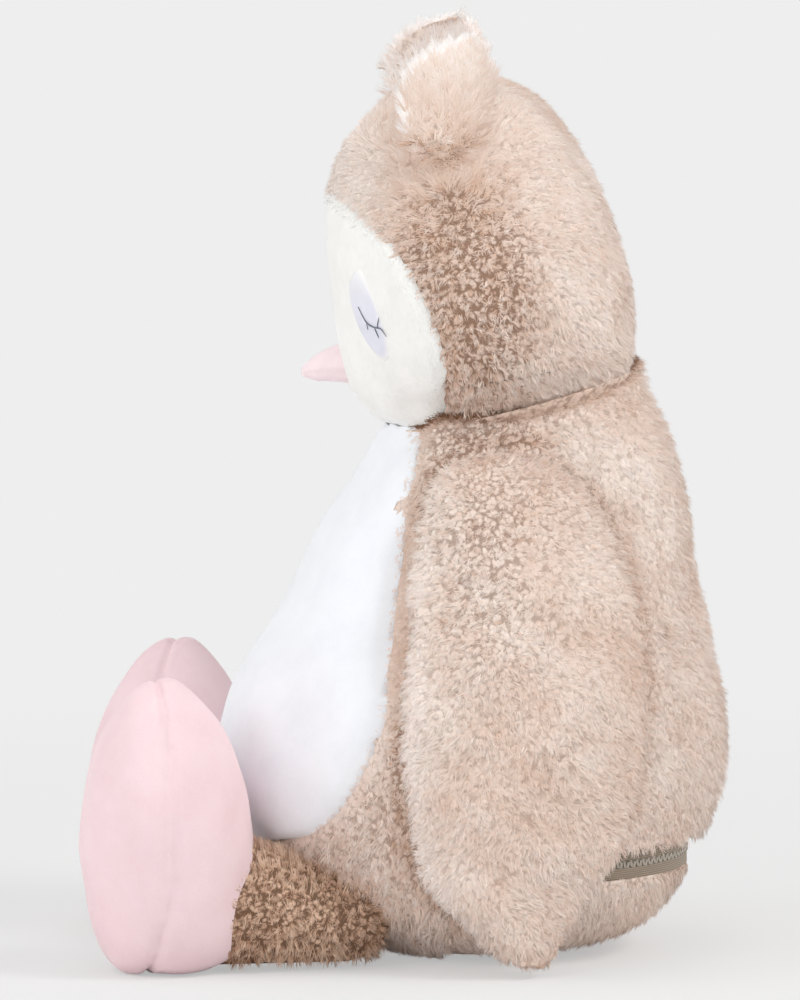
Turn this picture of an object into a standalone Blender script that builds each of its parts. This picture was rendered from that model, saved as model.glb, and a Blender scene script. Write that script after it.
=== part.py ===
"""Plush owl with a zipped base, sitting, about 0.39 m tall.

The owl faces -Y and stands on z = 0, and its left side is +X. All values are metres or degrees.
Each sewn or moulded piece is one object. The head turns and nods on a ball-shaped neck, the ears,
wings and legs fold at their seams, and the base opens on a toothed zip that runs round the back.
"""

import math

import bmesh
import bpy
import numpy as np
from mathutils import Matrix, Vector

# Clearances
SEAM_GAP = 0.0003
BALL_GAP = 0.0005
LEAF_GAP = 0.0006
POD_SLACK = 0.0028
SLIVER = 0.00001

# Reach of the blocks that cut right through
BEYOND = 0.2

# Cloth
SKIN = 0.006
FLAT_CUT = 0.0005

# Stuffing pods, which have a coarser mesh than the cloth over them
POD_AROUND = 20
POD_LEVELS = 12
POD_DROP = 0.0014

# Torso. Each row is its height as a share of the top's, then its reach to the front, its reach to the
# back and its half width as shares of the radius that the zip lies on.
TORSO_Y = 0.031
TORSO_TOP = 0.252
TORSO_AROUND = 28
TORSO_LEVELS = 15
ZIP_Z = 0.042
ZIP_SEAT_R = 0.092
TORSO_ROWS = [
    (-FLAT_CUT / TORSO_TOP, 0.1304, 0.1304, 0.1304),
    (0.0000, 0.3913, 0.3587, 0.4783),
    (0.0159, 0.5000, 0.5761, 0.6522),
    (0.0476, 0.6630, 0.7826, 0.8043),
    (0.1032, 0.8804, 0.9239, 0.9348),
    (ZIP_Z / TORSO_TOP, 1.0543, 1.0, 1.0),
    (0.2302, 1.1630, 1.0652, 1.0435),
    (0.3095, 1.1848, 1.1141, 1.0707),
    (0.4127, 1.1196, 1.1087, 1.0543),
    (0.5159, 0.9783, 1.0652, 1.0000),
    (0.6389, 0.7826, 1.0000, 0.9022),
    (0.7659, 0.5761, 0.9457, 0.7826),
    (0.8532, 0.4348, 0.8913, 0.6630),
    (0.9206, 0.3043, 0.8152, 0.5435),
    (0.9762, 0.1739, 0.7283, 0.3696),
    (1.0000, 0.0652, 0.4348, 0.1304),
]

# White tummy: its side edge from the neck down, in the same shares
TUMMY_STEPS = 14
TUMMY_EDGE = [
    (1.0317, 0.1196),
    (0.8532, 0.0326),
    (0.7341, -0.0326),
    (0.6151, -0.0652),
    (0.4762, -0.1087),
    (0.3770, -0.1739),
    (0.2857, -0.2935),
    (0.2222, -0.4457),
    (0.1944, -0.6522),
    (0.1865, -1.0870),
]

# Neck ball, which the head turns on
NECK_RISE = 0.036
NECK_Z = TORSO_TOP + NECK_RISE
NECK = Vector((0.0, TORSO_Y, NECK_Z))
NECK_BALL_R = 0.080
NECK_LEAN = 14.0
NECK_AROUND = 36
NECK_BAND = 0.003
NECK_BAND_ROWS = 3
NECK_BAND_FROM = 27.0
NECK_BAND_TO = 42.0
NECK_MOUTH = 26.0
NECK_CONE = 1.4
HEAD_ON_BALL_TO = 53.0

# Head. Each row is height over the neck ball's centre, reach to the front, reach to the back and half
# width, all as shares of the neck ball's radius.
HEAD_Y = 0.033
HEAD_POWER = 2.2
HEAD_AROUND = 28
HEAD_LEVELS = 14
HEAD_ROWS = [
    (-1.0063, 0.1250, 0.1250, 0.1250),
    (-0.9625, 0.3000, 0.3375, 0.3000),
    (-0.8625, 0.5375, 0.5875, 0.5250),
    (-0.7375, 0.6625, 0.7250, 0.6875),
    (-0.5875, 0.7313, 0.7937, 0.8500),
    (-0.4000, 0.7625, 0.8125, 0.9750),
    (-0.1500, 0.7937, 0.7875, 1.0250),
    (0.1250, 0.8125, 0.7125, 0.9875),
    (0.3625, 0.7937, 0.6250, 0.9000),
    (0.5500, 0.7188, 0.5250, 0.7937),
    (0.7000, 0.6000, 0.4125, 0.6687),
    (0.8375, 0.4375, 0.2687, 0.4875),
    (0.9125, 0.2625, 0.1375, 0.2875),
    (0.9375, 0.1000, 0.0500, 0.1000),
]

# White face: its side edge as height over the neck ball's centre and y, from the chin up, in the same shares
FACE_STEPS = 14
FACE_EDGE = [
    (-1.1250, 0.2250),
    (-0.7875, 0.2100),
    (-0.5375, 0.2063),
    (-0.3250, 0.1500),
    (-0.0875, 0.0500),
    (0.1125, -0.0562),
    (0.2687, -0.2375),
    (0.3625, -0.3875),
    (0.3750, -0.7500),
]

# Closed eyes: satin patch and embroidered lashes
EYE_INSET = 0.0255
EYE_DROP = 0.019
EYE_X = NECK_BALL_R - EYE_INSET
EYE_Y = -0.0150
EYE_Z = NECK_Z - EYE_DROP
EYE = Vector((EYE_X, EYE_Y, EYE_Z))
EYE_TURN = 57.0
PATCH_HALF_W = 0.0150
PATCH_HALF_H = 0.0205
PATCH_THICK = 0.0010
LASH_THICK = 0.0008
LASH_WIDTH = 0.0013
LASH_ARC_R = 0.0085
LASH_ARC_FROM = 190.0
LASH_ARC_TO = 350.0
LASH_LENGTH = 0.0050
LASH_ANGLES = (235.0, 272.0, 310.0)

# Beak. Each row is how far it lies before the middle as a share of the tip's reach, then its height over
# the seam at the root, its half height and its half width as shares of the root's half width.
BEAK_DROP = 0.0445
BEAK_Z = NECK_Z - BEAK_DROP
BEAK_TIP = 0.0406
BEAK_HALF = 0.0115
BEAK_LEVELS = 9
BEAK_ROWS = [
    (-0.4433, 0.0261, 0.7130, 1.0000),
    (-0.6158, 0.0000, 0.6783, 0.9130),
    (-0.7635, -0.0870, 0.5739, 0.7478),
    (-0.8867, -0.1913, 0.4087, 0.5043),
    (-0.9729, -0.2957, 0.2174, 0.2609),
    (-1.0000, -0.3478, 0.0783, 0.0957),
]

# Ears. Each row is its height over the root as a share of the ear's, then its front edge, its back edge
# and its distance beyond the root as shares of the ear's half width, and its share of the thickness.
EAR_INSET = 0.0128
EAR_RISE = 0.041
EAR_X = NECK_BALL_R - EAR_INSET
EAR_Y = 0.0170
EAR_Z = NECK_Z + EAR_RISE
EAR_ROOT = Vector((EAR_X, EAR_Y, EAR_Z))
EAR_HEIGHT = 0.0635
EAR_HALF = 0.025
EAR_THICK = 0.012
EAR_TURN = 26.0
EAR_CUP = 0.0060
EAR_AROUND = 12
EAR_LEVELS = 10
EAR_ROWS = [
    (0.0000, -0.3600, 0.3600, 0.0720, 0.6667),
    (0.0787, -0.5400, 0.5200, 0.0720, 0.9167),
    (0.2205, -0.7200, 0.7400, 0.0320, 1.0000),
    (0.3780, -0.8800, 0.9200, -0.0480, 1.0000),
    (0.5512, -0.9600, 1.0400, -0.1480, 0.9583),
    (0.7087, -0.8400, 1.1000, -0.2280, 0.8750),
    (0.8504, -0.5200, 1.0600, -0.2880, 0.7500),
    (0.9449, -0.1000, 0.9400, -0.3280, 0.5417),
    (1.0000, 0.3400, 0.7400, -0.3480, 0.2833),
]

# Wings. Each row is its height as a share of the shoulder's, then its front edge, its back edge and the
# distance of its outer face as shares of the radius that the zip lies on, and its share of the thickness.
WING_HINGE_INSET = 0.0305
WING_HINGE_X = ZIP_SEAT_R - WING_HINGE_INSET
WING_HINGE_Z = 0.2150
WING_THICK = 0.027
WING_CURL = 0.012
WING_AROUND = 16
WING_LEVELS = 13
WING_ROWS = [
    (0.9953, 0.3152, 0.5326, 0.7717, 0.2222),
    (0.9721, 0.1848, 0.6739, 0.8913, 0.5185),
    (0.8977, 0.0598, 0.8587, 1.0543, 0.8148),
    (0.7674, 0.0109, 0.9891, 1.1848, 0.9630),
    (0.6326, -0.0109, 1.0543, 1.2609, 1.0000),
    (0.4884, -0.0326, 1.0652, 1.3043, 1.0000),
    (0.3721, -0.0326, 1.0326, 1.3098, 0.9630),
    (0.2651, 0.0000, 0.9565, 1.2989, 0.9259),
    (0.1767, 0.0870, 0.8478, 1.2772, 0.8333),
    (0.0930, 0.2500, 0.7283, 1.2500, 0.6667),
    (0.0372, 0.3913, 0.6522, 1.2174, 0.4444),
    (0.0140, 0.4783, 0.5870, 1.1848, 0.2222),
]

# Legs, measured from the hip, with the foot to the front
HIP_INSET = 0.032
HIP_Y = -0.024
HIP_Z = 0.020
HIP = Vector((ZIP_SEAT_R - HIP_INSET, HIP_Y, HIP_Z))
LEG_R = 0.0285
HIP_BALL_R = 0.0195
HIP_AROUND = 22
HIP_LEVELS = 14
LEG_REACH = 0.064
LEG_RINGS = 5
HIP_END_ANGLES = (10.0, 75.0)
LEG_AROUND = 22
LEG_TURN_LEFT = 8.0
LEG_TURN_RIGHT = 14.0
FOOT_LEAN_LEFT = 0.0
FOOT_LEAN_RIGHT = 5.0

# Feet. Each row is its height as a share of the top's, then its reach before the foot's seam, its reach
# behind it and its half width as shares of the widest half.
FOOT_SEAM = 0.077
FOOT_TOP = 0.1215
FOOT_HALF = 0.041
FOOT_LEVELS = 12
FOOT_AROUND = 22
FOOT_ROWS = [
    (-FLAT_CUT / FOOT_TOP, 0.1951, 0.1951, 0.2439),
    (0.0082, 0.4634, 0.4634, 0.5122),
    (0.0658, 0.6098, 0.7073, 0.7073),
    (0.1811, 0.7317, 0.8537, 0.8780),
    (0.3292, 0.8049, 0.9024, 0.9756),
    (0.4938, 0.8171, 0.8902, 1.0000),
    (0.6502, 0.7561, 0.8049, 0.9268),
    (0.7901, 0.6341, 0.6341, 0.7561),
    (0.9053, 0.4390, 0.4146, 0.5122),
    (0.9835, 0.1951, 0.1707, 0.2195),
    (1.0000, 0.0488, 0.0488, 0.0732),
]

# Base flap and its zip, whose teeth follow a circle about the torso's upright axis
FLAP_HINGE_Y = 0.012
FLAP_HINGE_Z = 0.0
FLAP_RISE_Y = 0.044
CHANNEL_HALF = 0.0060
CHANNEL_END = 64.0
CHANNEL_REACH = 0.02
CHANNEL_STEPS = 16
TAPE_INSET = 0.0040
TAPE_THICK = 0.0016
TAPE_END = 61.1
TOOTH_COUNT = 47
TOOTH_END = 60.0
TOOTH_SHARE = 0.40
TOOTH_LENGTH = 0.0024
TOOTH_BITE = 0.0021
TOOTH_FLARE = 0.0005

# Zip slider, pull and stop
SLIDER_AT = -59.2
SLIDER_HALF_ANGLE = 3.6
SLIDER_HALF_H = 0.0046
SLIDER_PLATE = 0.0012
SLIDER_GAP = 0.0005
SLIDER_POST_ANGLE = 1.4
SLIDER_POST_H = 0.0030
PIN_R = 0.0007
PIN_OUT = 0.0024
PULL_EYE_R = 0.0019
PULL_EYE_WIDTH = 0.0040
PULL_NECK = 0.0022
CHEEK = 0.0010
PULL_LENGTH = 0.0180
PULL_WIDTH = 0.0050
PULL_THICK = 0.0012
STOP_AFTER = 0.3
STOP_ANGLE = 1.2
STOP_BELOW = 0.0008

# Radii about the torso's upright axis, from the wall's face in to the pod
TAPE_OUTER_R = ZIP_SEAT_R - TAPE_INSET
TAPE_INNER_R = TAPE_OUTER_R - TAPE_THICK
TOOTH_OUTER_R = TAPE_OUTER_R + TOOTH_FLARE
TOOTH_INNER_R = TAPE_INNER_R - TOOTH_FLARE
SLIDER_FRONT_R = TOOTH_OUTER_R + SLIDER_GAP
SLIDER_REAR_R = TOOTH_INNER_R - SLIDER_GAP
CHANNEL_INNER_R = SLIDER_REAR_R - SLIDER_PLATE - SLIDER_GAP

FUR = ("fur", (0.66, 0.50, 0.39, 1.0), 0.95)
FUR_DARK = ("leg fur", (0.47, 0.34, 0.25, 1.0), 0.95)
FUR_PALE = ("ear lining", (0.88, 0.76, 0.72, 1.0), 0.95)
WHITE_PILE = ("white pile", (0.90, 0.90, 0.88, 1.0), 0.95)
WHITE_KNIT = ("white knit", (0.90, 0.92, 0.94, 1.0), 0.90)
PINK_KNIT = ("pink knit", (0.89, 0.62, 0.66, 1.0), 0.90)
SATIN = ("satin", (0.80, 0.80, 0.86, 1.0), 0.45)
THREAD = ("grey thread", (0.17, 0.18, 0.22, 1.0), 0.70)
BAG = ("inner bag", (0.78, 0.76, 0.73, 1.0), 0.90)
TAPE = ("zip tape", (0.40, 0.35, 0.30, 1.0), 0.85)
METAL = ("zip metal", (0.30, 0.28, 0.26, 1.0), 0.40)


def clear_scene():
    for item in list(bpy.data.objects):
        bpy.data.objects.remove(item, do_unlink=True)


def new_object(name, mesh):
    item = bpy.data.objects.new(name, mesh)
    bpy.context.scene.collection.objects.link(item)
    return item


def through_rows(rows, units, count):
    """Reads count rows from a smooth curve through the rows of shares, each column times its own unit."""
    table = np.array(rows, float) * units
    padded = np.vstack([2 * table[0] - table[1], table, 2 * table[-1] - table[-2]])
    found = []
    for place in np.linspace(0, len(table) - 1, count):
        span = min(int(place), len(table) - 2)
        t = place - span
        a, b, c, d = padded[span : span + 4]
        found.append(
            0.5 * (2 * b + (c - a) * t + (2 * a - 5 * b + 4 * c - d) * t**2 + (3 * b - a - 3 * c + d) * t**3)
        )
    return found


def walls_between(shape, layers):
    """Joins each ring to the next with triangles whose long sides all lean the same way."""
    for low, high in zip(layers, layers[1:]):
        for i in range(len(low)):
            j = (i + 1) % len(low)
            shape.faces.new((low[i], low[j], high[j]))
            shape.faces.new((low[i], high[j], high[i]))


def skin_over(name, rings):
    """Makes a closed solid whose wall runs through rings of equal length, with a fan over each end."""
    shape = bmesh.new()
    layers = [[shape.verts.new(point) for point in ring] for ring in rings]
    walls_between(shape, layers)
    for layer in (layers[0], layers[-1]):
        middle = shape.verts.new(sum((v.co for v in layer), Vector()) / len(layer))
        for i in range(len(layer)):
            shape.faces.new((layer[i], layer[(i + 1) % len(layer)], middle))
    bmesh.ops.recalc_face_normals(shape, faces=shape.faces)
    return finished(name, shape)


def skin_over_flat(name, rings):
    """The same with a single flat face over each end."""
    shape = bmesh.new()
    layers = [[shape.verts.new(point) for point in ring] for ring in rings]
    walls_between(shape, layers)
    shape.faces.new(layers[0])
    shape.faces.new(layers[-1])
    bmesh.ops.recalc_face_normals(shape, faces=shape.faces)
    return finished(name, shape)


def finished(name, shape):
    """Turns a bmesh into an object whose faces point out."""
    if shape.calc_volume(signed=True) < 0:
        bmesh.ops.reverse_faces(shape, faces=shape.faces)
    mesh = bpy.data.meshes.new(name)
    shape.to_mesh(mesh)
    shape.free()
    return new_object(name, mesh)


def oval(height, front, back, half, middle_y, count, power=2.0):
    """One level outline whose front half and back half have unlike depths."""
    ring = []
    for i in range(count):
        angle = 2 * math.pi * i / count
        across, along = math.cos(angle), math.sin(angle)
        x = half * math.copysign(abs(across) ** (2 / power), across)
        y = (back if along > 0 else front) * math.copysign(abs(along) ** (2 / power), along)
        ring.append(Vector((x, middle_y + y, height)))
    return ring


def grown(source, distance):
    """A copy of a solid with its surface moved out along its normals, or in."""
    shape = bmesh.new()
    shape.from_mesh(source.data)
    shape.normal_update()
    moves = [(v, v.normal.copy()) for v in shape.verts]
    for vertex, normal in moves:
        vertex.co += normal * distance
    return finished("guide", shape)


def prism(outline, half_width):
    """A bar across X with an outline of (y, z) points."""
    rings = [[Vector((x, y, z)) for y, z in outline] for x in (-half_width, half_width)]
    return skin_over_flat("guide", rings)


def ball(centre, radius, around=32, levels=20):
    shape = bmesh.new()
    bmesh.ops.create_uvsphere(shape, u_segments=around, v_segments=levels, radius=radius)
    bmesh.ops.translate(shape, verts=shape.verts, vec=centre)
    return finished("guide", shape)


def half_space(height, above):
    """A large block whose one face is level at a height."""
    shape = bmesh.new()
    bmesh.ops.create_cube(shape, size=4 * BEYOND)
    offset = 2 * BEYOND if above else -2 * BEYOND
    bmesh.ops.translate(shape, verts=shape.verts, vec=(0, 0, height + offset))
    return finished("guide", shape)


def carve(target, cutter, operation="DIFFERENCE", keep=False):
    """Applies one Boolean to a solid and removes the cutter unless it is needed again."""
    modifier = target.modifiers.new("carve", "BOOLEAN")
    modifier.operation = operation
    modifier.solver = "EXACT"
    modifier.object = cutter
    graph = bpy.context.evaluated_depsgraph_get()
    mesh = bpy.data.meshes.new_from_object(target.evaluated_get(graph))
    target.modifiers.clear()
    target.data = mesh
    close_slivers(mesh)
    if not keep:
        bpy.data.objects.remove(cutter, do_unlink=True)
    return target


def close_slivers(mesh):
    """Closes up the slivers that a cut leaves along its edge."""
    shape = bmesh.new()
    shape.from_mesh(mesh)
    bmesh.ops.remove_doubles(shape, verts=shape.verts, dist=SLIVER)
    bmesh.ops.dissolve_degenerate(shape, edges=shape.edges, dist=SLIVER)
    shape.to_mesh(mesh)
    shape.free()


def copy_of(source, name="guide"):
    return new_object(name, source.data.copy())


def mirrored(source, name):
    """A copy on the other side of the middle plane."""
    shape = bmesh.new()
    shape.from_mesh(source.data)
    bmesh.ops.transform(shape, matrix=source.matrix_world, verts=shape.verts)
    bmesh.ops.scale(shape, vec=(-1, 1, 1), verts=shape.verts)
    bmesh.ops.reverse_faces(shape, faces=shape.faces)
    return finished(name, shape)


def put_origin(item, point):
    """Moves an object's origin to a point and leaves its surface where it is."""
    item.data.transform(Matrix.Translation(-Vector(point)))
    item.location = point


def dress(item, name, look, origin=None):
    """Names a finished piece and gives it its material, shading and origin."""
    item.name = name
    item.data.name = name
    label, colour, roughness = look
    material = bpy.data.materials.new(f"{name} {label}")
    material.use_nodes = True
    shader = material.node_tree.nodes["Principled BSDF"]
    shader.inputs["Base Color"].default_value = colour
    shader.inputs["Roughness"].default_value = roughness
    shader.inputs["Metallic"].default_value = 1.0 if look is METAL else 0.0
    item.data.materials.clear()
    item.data.materials.append(material)
    item.data.shade_smooth()
    item.data.set_sharp_from_angle(angle=math.radians(40))
    if origin is not None:
        put_origin(item, origin)
    return item


def neck_axis():
    """Unit vector from the head down into the torso."""
    lean = math.radians(NECK_LEAN)
    return Vector((0, math.sin(lean), -math.cos(lean)))


def torso_form(levels=TORSO_LEVELS, around=TORSO_AROUND):
    rows = through_rows(TORSO_ROWS, (TORSO_TOP, ZIP_SEAT_R, ZIP_SEAT_R, ZIP_SEAT_R), levels)
    return skin_over("guide", [oval(*row, TORSO_Y, around) for row in rows])


def head_form(levels=HEAD_LEVELS, around=HEAD_AROUND):
    """The head's outer form, drawn in to the neck ball where it sits in the collar."""
    axis = neck_axis()
    rings = []
    for height, front, back, half in through_rows(HEAD_ROWS, [NECK_BALL_R] * 4, levels):
        ring = []
        for point in oval(NECK.z + height, front, back, half, HEAD_Y, around, HEAD_POWER):
            arm = point - NECK
            if math.degrees(arm.angle(axis)) < HEAD_ON_BALL_TO and arm.length > NECK_BALL_R:
                point = NECK + arm.normalized() * NECK_BALL_R
            ring.append(point)
        rings.append(ring)
    return skin_over("guide", rings)


def cone_from_neck(half_angle, radius):
    """A solid cone from the neck ball's centre down the neck's axis."""
    axis = neck_axis()
    side = Vector((1, 0, 0))
    other = axis.cross(side)
    spread = math.radians(half_angle)
    ring = []
    for i in range(NECK_AROUND):
        turn = 2 * math.pi * i / NECK_AROUND
        out = side * math.cos(turn) + other * math.sin(turn)
        ring.append(NECK + (axis + out * math.tan(spread)) * radius)
    shape = bmesh.new()
    tip = shape.verts.new(NECK)
    base = [shape.verts.new(point) for point in ring]
    shape.faces.new(base)
    for i in range(NECK_AROUND):
        shape.faces.new((base[i], base[(i + 1) % NECK_AROUND], tip))
    bmesh.ops.recalc_face_normals(shape, faces=shape.faces)
    return finished("guide", shape)


def tummy_block(margin):
    """Everything before the tummy's side edge, drawn back by a margin."""
    edge = through_rows(TUMMY_EDGE, (TORSO_TOP, ZIP_SEAT_R), TUMMY_STEPS)
    outline = [(y - margin, z + margin) for z, y in edge]
    top, bottom = edge[0][0], edge[-1][0]
    outline += [(-BEYOND, bottom + margin), (-BEYOND, top + margin)]
    return prism(outline, BEYOND)


def face_block(margin):
    edge = through_rows(FACE_EDGE, (NECK_BALL_R, NECK_BALL_R), FACE_STEPS)
    outline = [(y - margin, NECK.z + height - margin) for height, y in edge]
    bottom, top = NECK.z + edge[0][0], NECK.z + edge[-1][0]
    outline += [(-BEYOND, top - margin), (-BEYOND, bottom - margin)]
    return prism(outline, BEYOND)


def flap_block(margin):
    """Everything under the seam between the torso and the base flap, lowered by a margin."""
    outline = [
        (FLAP_HINGE_Y + margin, -BEYOND),
        (FLAP_HINGE_Y + margin, 0.0),
        (FLAP_RISE_Y + margin, ZIP_Z - margin),
        (BEYOND, ZIP_Z - margin),
        (BEYOND, -BEYOND),
    ]
    return prism(outline, BEYOND)


def sector(inner, outer, low, high, first, last, steps):
    """A curved bar about the torso's upright axis, between two radii, heights and angles from the back."""
    rings = []
    for angle in np.radians(np.linspace(first, last, steps + 1)):
        out = Vector((math.sin(angle), math.cos(angle), 0))
        centre = Vector((0, TORSO_Y, 0))
        corners = ((inner, low), (outer, low), (outer, high), (inner, high))
        rings.append([centre + out * r + Vector((0, 0, z)) for r, z in corners])
    return skin_over_flat("guide", rings)


def zip_channel(slack=0.0):
    """The slot round the back that the zip lies in."""
    half = CHANNEL_HALF + SEAM_GAP + slack
    return sector(
        CHANNEL_INNER_R - slack,
        ZIP_SEAT_R + CHANNEL_REACH,
        ZIP_Z - half,
        ZIP_Z + half,
        -CHANNEL_END,
        CHANNEL_END,
        CHANNEL_STEPS,
    )


def hip_at(side):
    return Vector((side * HIP.x, HIP.y, HIP.z))


def torso_pieces():
    form = torso_form()
    inside = grown(form, -SKIN)
    bowl_r = NECK_BALL_R + NECK_BAND + 2 * BALL_GAP
    socket_r = HIP_BALL_R + BALL_GAP

    hollow = copy_of(form)
    carve(hollow, half_space(0.0, above=True), "INTERSECT")
    carve(hollow, inside)
    base = carve(copy_of(hollow), flap_block(SEAM_GAP), "INTERSECT")
    tummy = carve(copy_of(hollow), tummy_block(SEAM_GAP), "INTERSECT")
    shell = carve(hollow, flap_block(0.0))
    carve(shell, tummy_block(0.0))
    for piece in (shell, tummy):
        carve(piece, ball(NECK, bowl_r))
    for piece in (shell, base):
        carve(piece, zip_channel())
    for side in (-1, 1):
        carve(shell, ball(hip_at(side), socket_r, HIP_AROUND, HIP_LEVELS))

    pod = grown(torso_form(POD_LEVELS, POD_AROUND), -SKIN - POD_SLACK)
    pod.data.transform(Matrix.Translation((0, 0, -POD_DROP)))
    carve(pod, ball(NECK, bowl_r + POD_SLACK, POD_AROUND, POD_LEVELS))
    carve(pod, zip_channel(POD_SLACK))
    for side in (-1, 1):
        carve(pod, ball(hip_at(side), socket_r + POD_SLACK, HIP_AROUND, HIP_LEVELS))

    dress(shell, "torso_shell", FUR)
    dress(tummy, "tummy_panel", WHITE_KNIT)
    dress(base, "base_panel", FUR, (0, FLAP_HINGE_Y, FLAP_HINGE_Z))
    dress(pod, "body_pod", BAG)
    return form


def neck_band():
    """The gathered collar between head and torso, a zone of a thick ball."""
    axis = neck_axis()
    side = Vector((1, 0, 0))
    other = axis.cross(side)
    inner = NECK_BALL_R + BALL_GAP
    outer = inner + NECK_BAND
    angles = np.radians(np.linspace(NECK_BAND_FROM, NECK_BAND_TO, NECK_BAND_ROWS))
    section = [(inner, a) for a in angles] + [(outer, a) for a in reversed(angles)]
    shape = bmesh.new()
    rings = []
    for i in range(NECK_AROUND):
        turn = 2 * math.pi * i / NECK_AROUND
        out = side * math.cos(turn) + other * math.sin(turn)
        rings.append(
            [shape.verts.new(NECK + (axis * math.cos(a) + out * math.sin(a)) * r) for r, a in section]
        )
    for i in range(NECK_AROUND):
        here, there = rings[i], rings[(i + 1) % NECK_AROUND]
        for j in range(len(section)):
            k = (j + 1) % len(section)
            shape.faces.new((here[j], here[k], there[k], there[j]))
    bmesh.ops.recalc_face_normals(shape, faces=shape.faces)
    dress(finished("neck_seam", shape), "neck_seam", FUR_DARK, NECK)


def head_pieces():
    form = head_form()
    inside = grown(form, -SKIN)
    hollow = carve(copy_of(form), inside)
    face = carve(copy_of(hollow), face_block(SEAM_GAP), "INTERSECT")
    shell = carve(hollow, face_block(0.0))
    carve(shell, cone_from_neck(NECK_MOUTH, NECK_CONE * NECK_BALL_R))
    pod = grown(head_form(POD_LEVELS, POD_AROUND), -SKIN - POD_SLACK)
    dress(shell, "head_shell", FUR, NECK)
    dress(face, "face_panel", WHITE_PILE, NECK)
    dress(pod, "head_pod", BAG, NECK)
    return form


def eye_frame():
    """The left eye's place, its outward direction and the direction to the right across it."""
    turn = math.radians(EYE_TURN)
    out = Vector((math.cos(turn), -math.sin(turn), 0))
    right = Vector((-out.y, out.x, 0))
    return EYE, out, right


def column(outline, reach=0.02):
    """A bar square to the left eye with an outline of (across, up) points."""
    place, out, right = eye_frame()
    rings = []
    for step in (-reach, reach):
        rings.append([place + out * step + right * a + Vector((0, 0, b)) for a, b in outline])
    return skin_over_flat("guide", rings)


def layer_over(form, bar, low, high):
    """The part of a bar that lies between two distances over a form."""
    carve(bar, grown(form, high), "INTERSECT")
    return carve(bar, grown(form, low))


def lash_bar():
    """The closed lid's arc with its lashes, as one bar square to the eye."""
    arc = np.radians(np.linspace(LASH_ARC_FROM, LASH_ARC_TO, 13))
    outer = [(math.cos(a) * (LASH_ARC_R + LASH_WIDTH), math.sin(a) * (LASH_ARC_R + LASH_WIDTH)) for a in arc]
    inner = [(math.cos(a) * LASH_ARC_R, math.sin(a) * LASH_ARC_R) for a in reversed(arc)]
    bar = column(outer + inner)
    for degrees in LASH_ANGLES:
        angle = math.radians(degrees)
        along = Vector((math.cos(angle), math.sin(angle)))
        across = Vector((-along.y, along.x)) * (LASH_WIDTH / 2)
        start = along * (LASH_ARC_R + LASH_WIDTH / 2)
        end = along * (LASH_ARC_R + LASH_WIDTH + LASH_LENGTH)
        lash = [start - across, end - across * 0.4, end + across * 0.4, start + across]
        carve(bar, column([tuple(p) for p in lash]), "UNION")
    return bar


def eye_pieces(form):
    ring = np.radians(np.arange(0, 360, 15))
    patch_outline = [(PATCH_HALF_W * math.cos(a), PATCH_HALF_H * math.sin(a)) for a in ring]
    patch = layer_over(form, column(patch_outline), SEAM_GAP, SEAM_GAP + PATCH_THICK)
    low = 2 * SEAM_GAP + PATCH_THICK
    lash = layer_over(form, lash_bar(), low, low + LASH_THICK)
    dress(mirrored(patch, "guide"), "eye_patch_right", SATIN, NECK)
    dress(mirrored(lash, "guide"), "eyelash_right", THREAD, NECK)
    dress(patch, "eye_patch_left", SATIN, NECK)
    dress(lash, "eyelash_left", THREAD, NECK)


def beak_half(sign, form):
    """The beak's upper panel for a sign of 1, or its lower panel for -1."""
    rings = []
    rows = through_rows(BEAK_ROWS, (BEAK_TIP, BEAK_HALF, BEAK_HALF, BEAK_HALF), BEAK_LEVELS)
    for y, drop, half_height, half_width in rows:
        seam = BEAK_Z + drop + sign * SEAM_GAP / 2
        ring = []
        for angle in np.linspace(0, math.pi, BEAK_LEVELS):
            ring.append(
                Vector((half_width * math.cos(angle), y, seam + sign * half_height * math.sin(angle)))
            )
        rings.append(ring)
    return carve(skin_over_flat("guide", rings), grown(form, SEAM_GAP))


def beak_pieces(form):
    dress(beak_half(1, form), "beak_upper", PINK_KNIT, NECK)
    dress(beak_half(-1, form), "beak_lower", PINK_KNIT, NECK)


def leaf_half(rows, count, curl, sign, outer_face):
    """One side of a flat stuffed leaf that stands in z: the outer side for a sign of 1.

    Its rows are height, front edge, back edge, distance and thickness. The distance is that of
    the outer face, or else of the seam in the leaf's middle.
    """
    rings = []
    for height, front, back, distance, thick in rows:
        middle = distance - thick / 2 if outer_face else distance
        ring = []
        for angle in np.linspace(0, math.pi, count // 2 + 1):
            share = math.cos(angle)
            bulge = LEAF_GAP / 2 + thick / 2 * math.sin(angle)
            x = middle - curl * share**2 + sign * bulge
            y = (front + back) / 2 + (back - front) / 2 * share
            ring.append(Vector((x, y, height)))
        for angle in np.linspace(math.pi, 0, count // 2 + 1)[1:-1]:
            share = math.cos(angle)
            x = middle - curl * share**2 + sign * LEAF_GAP / 2
            y = (front + back) / 2 + (back - front) / 2 * share
            ring.append(Vector((x, y, height)))
        rings.append(ring)
    return skin_over_flat("guide", rings)


def paired(piece, name, look, origin):
    """Finishes a left piece and its mirror image on the right."""
    other = mirrored(piece, "guide")
    dress(other, f"{name[0]}_right{name[1]}", look, (-origin[0], origin[1], origin[2]))
    dress(piece, f"{name[0]}_left{name[1]}", look, origin)


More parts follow.
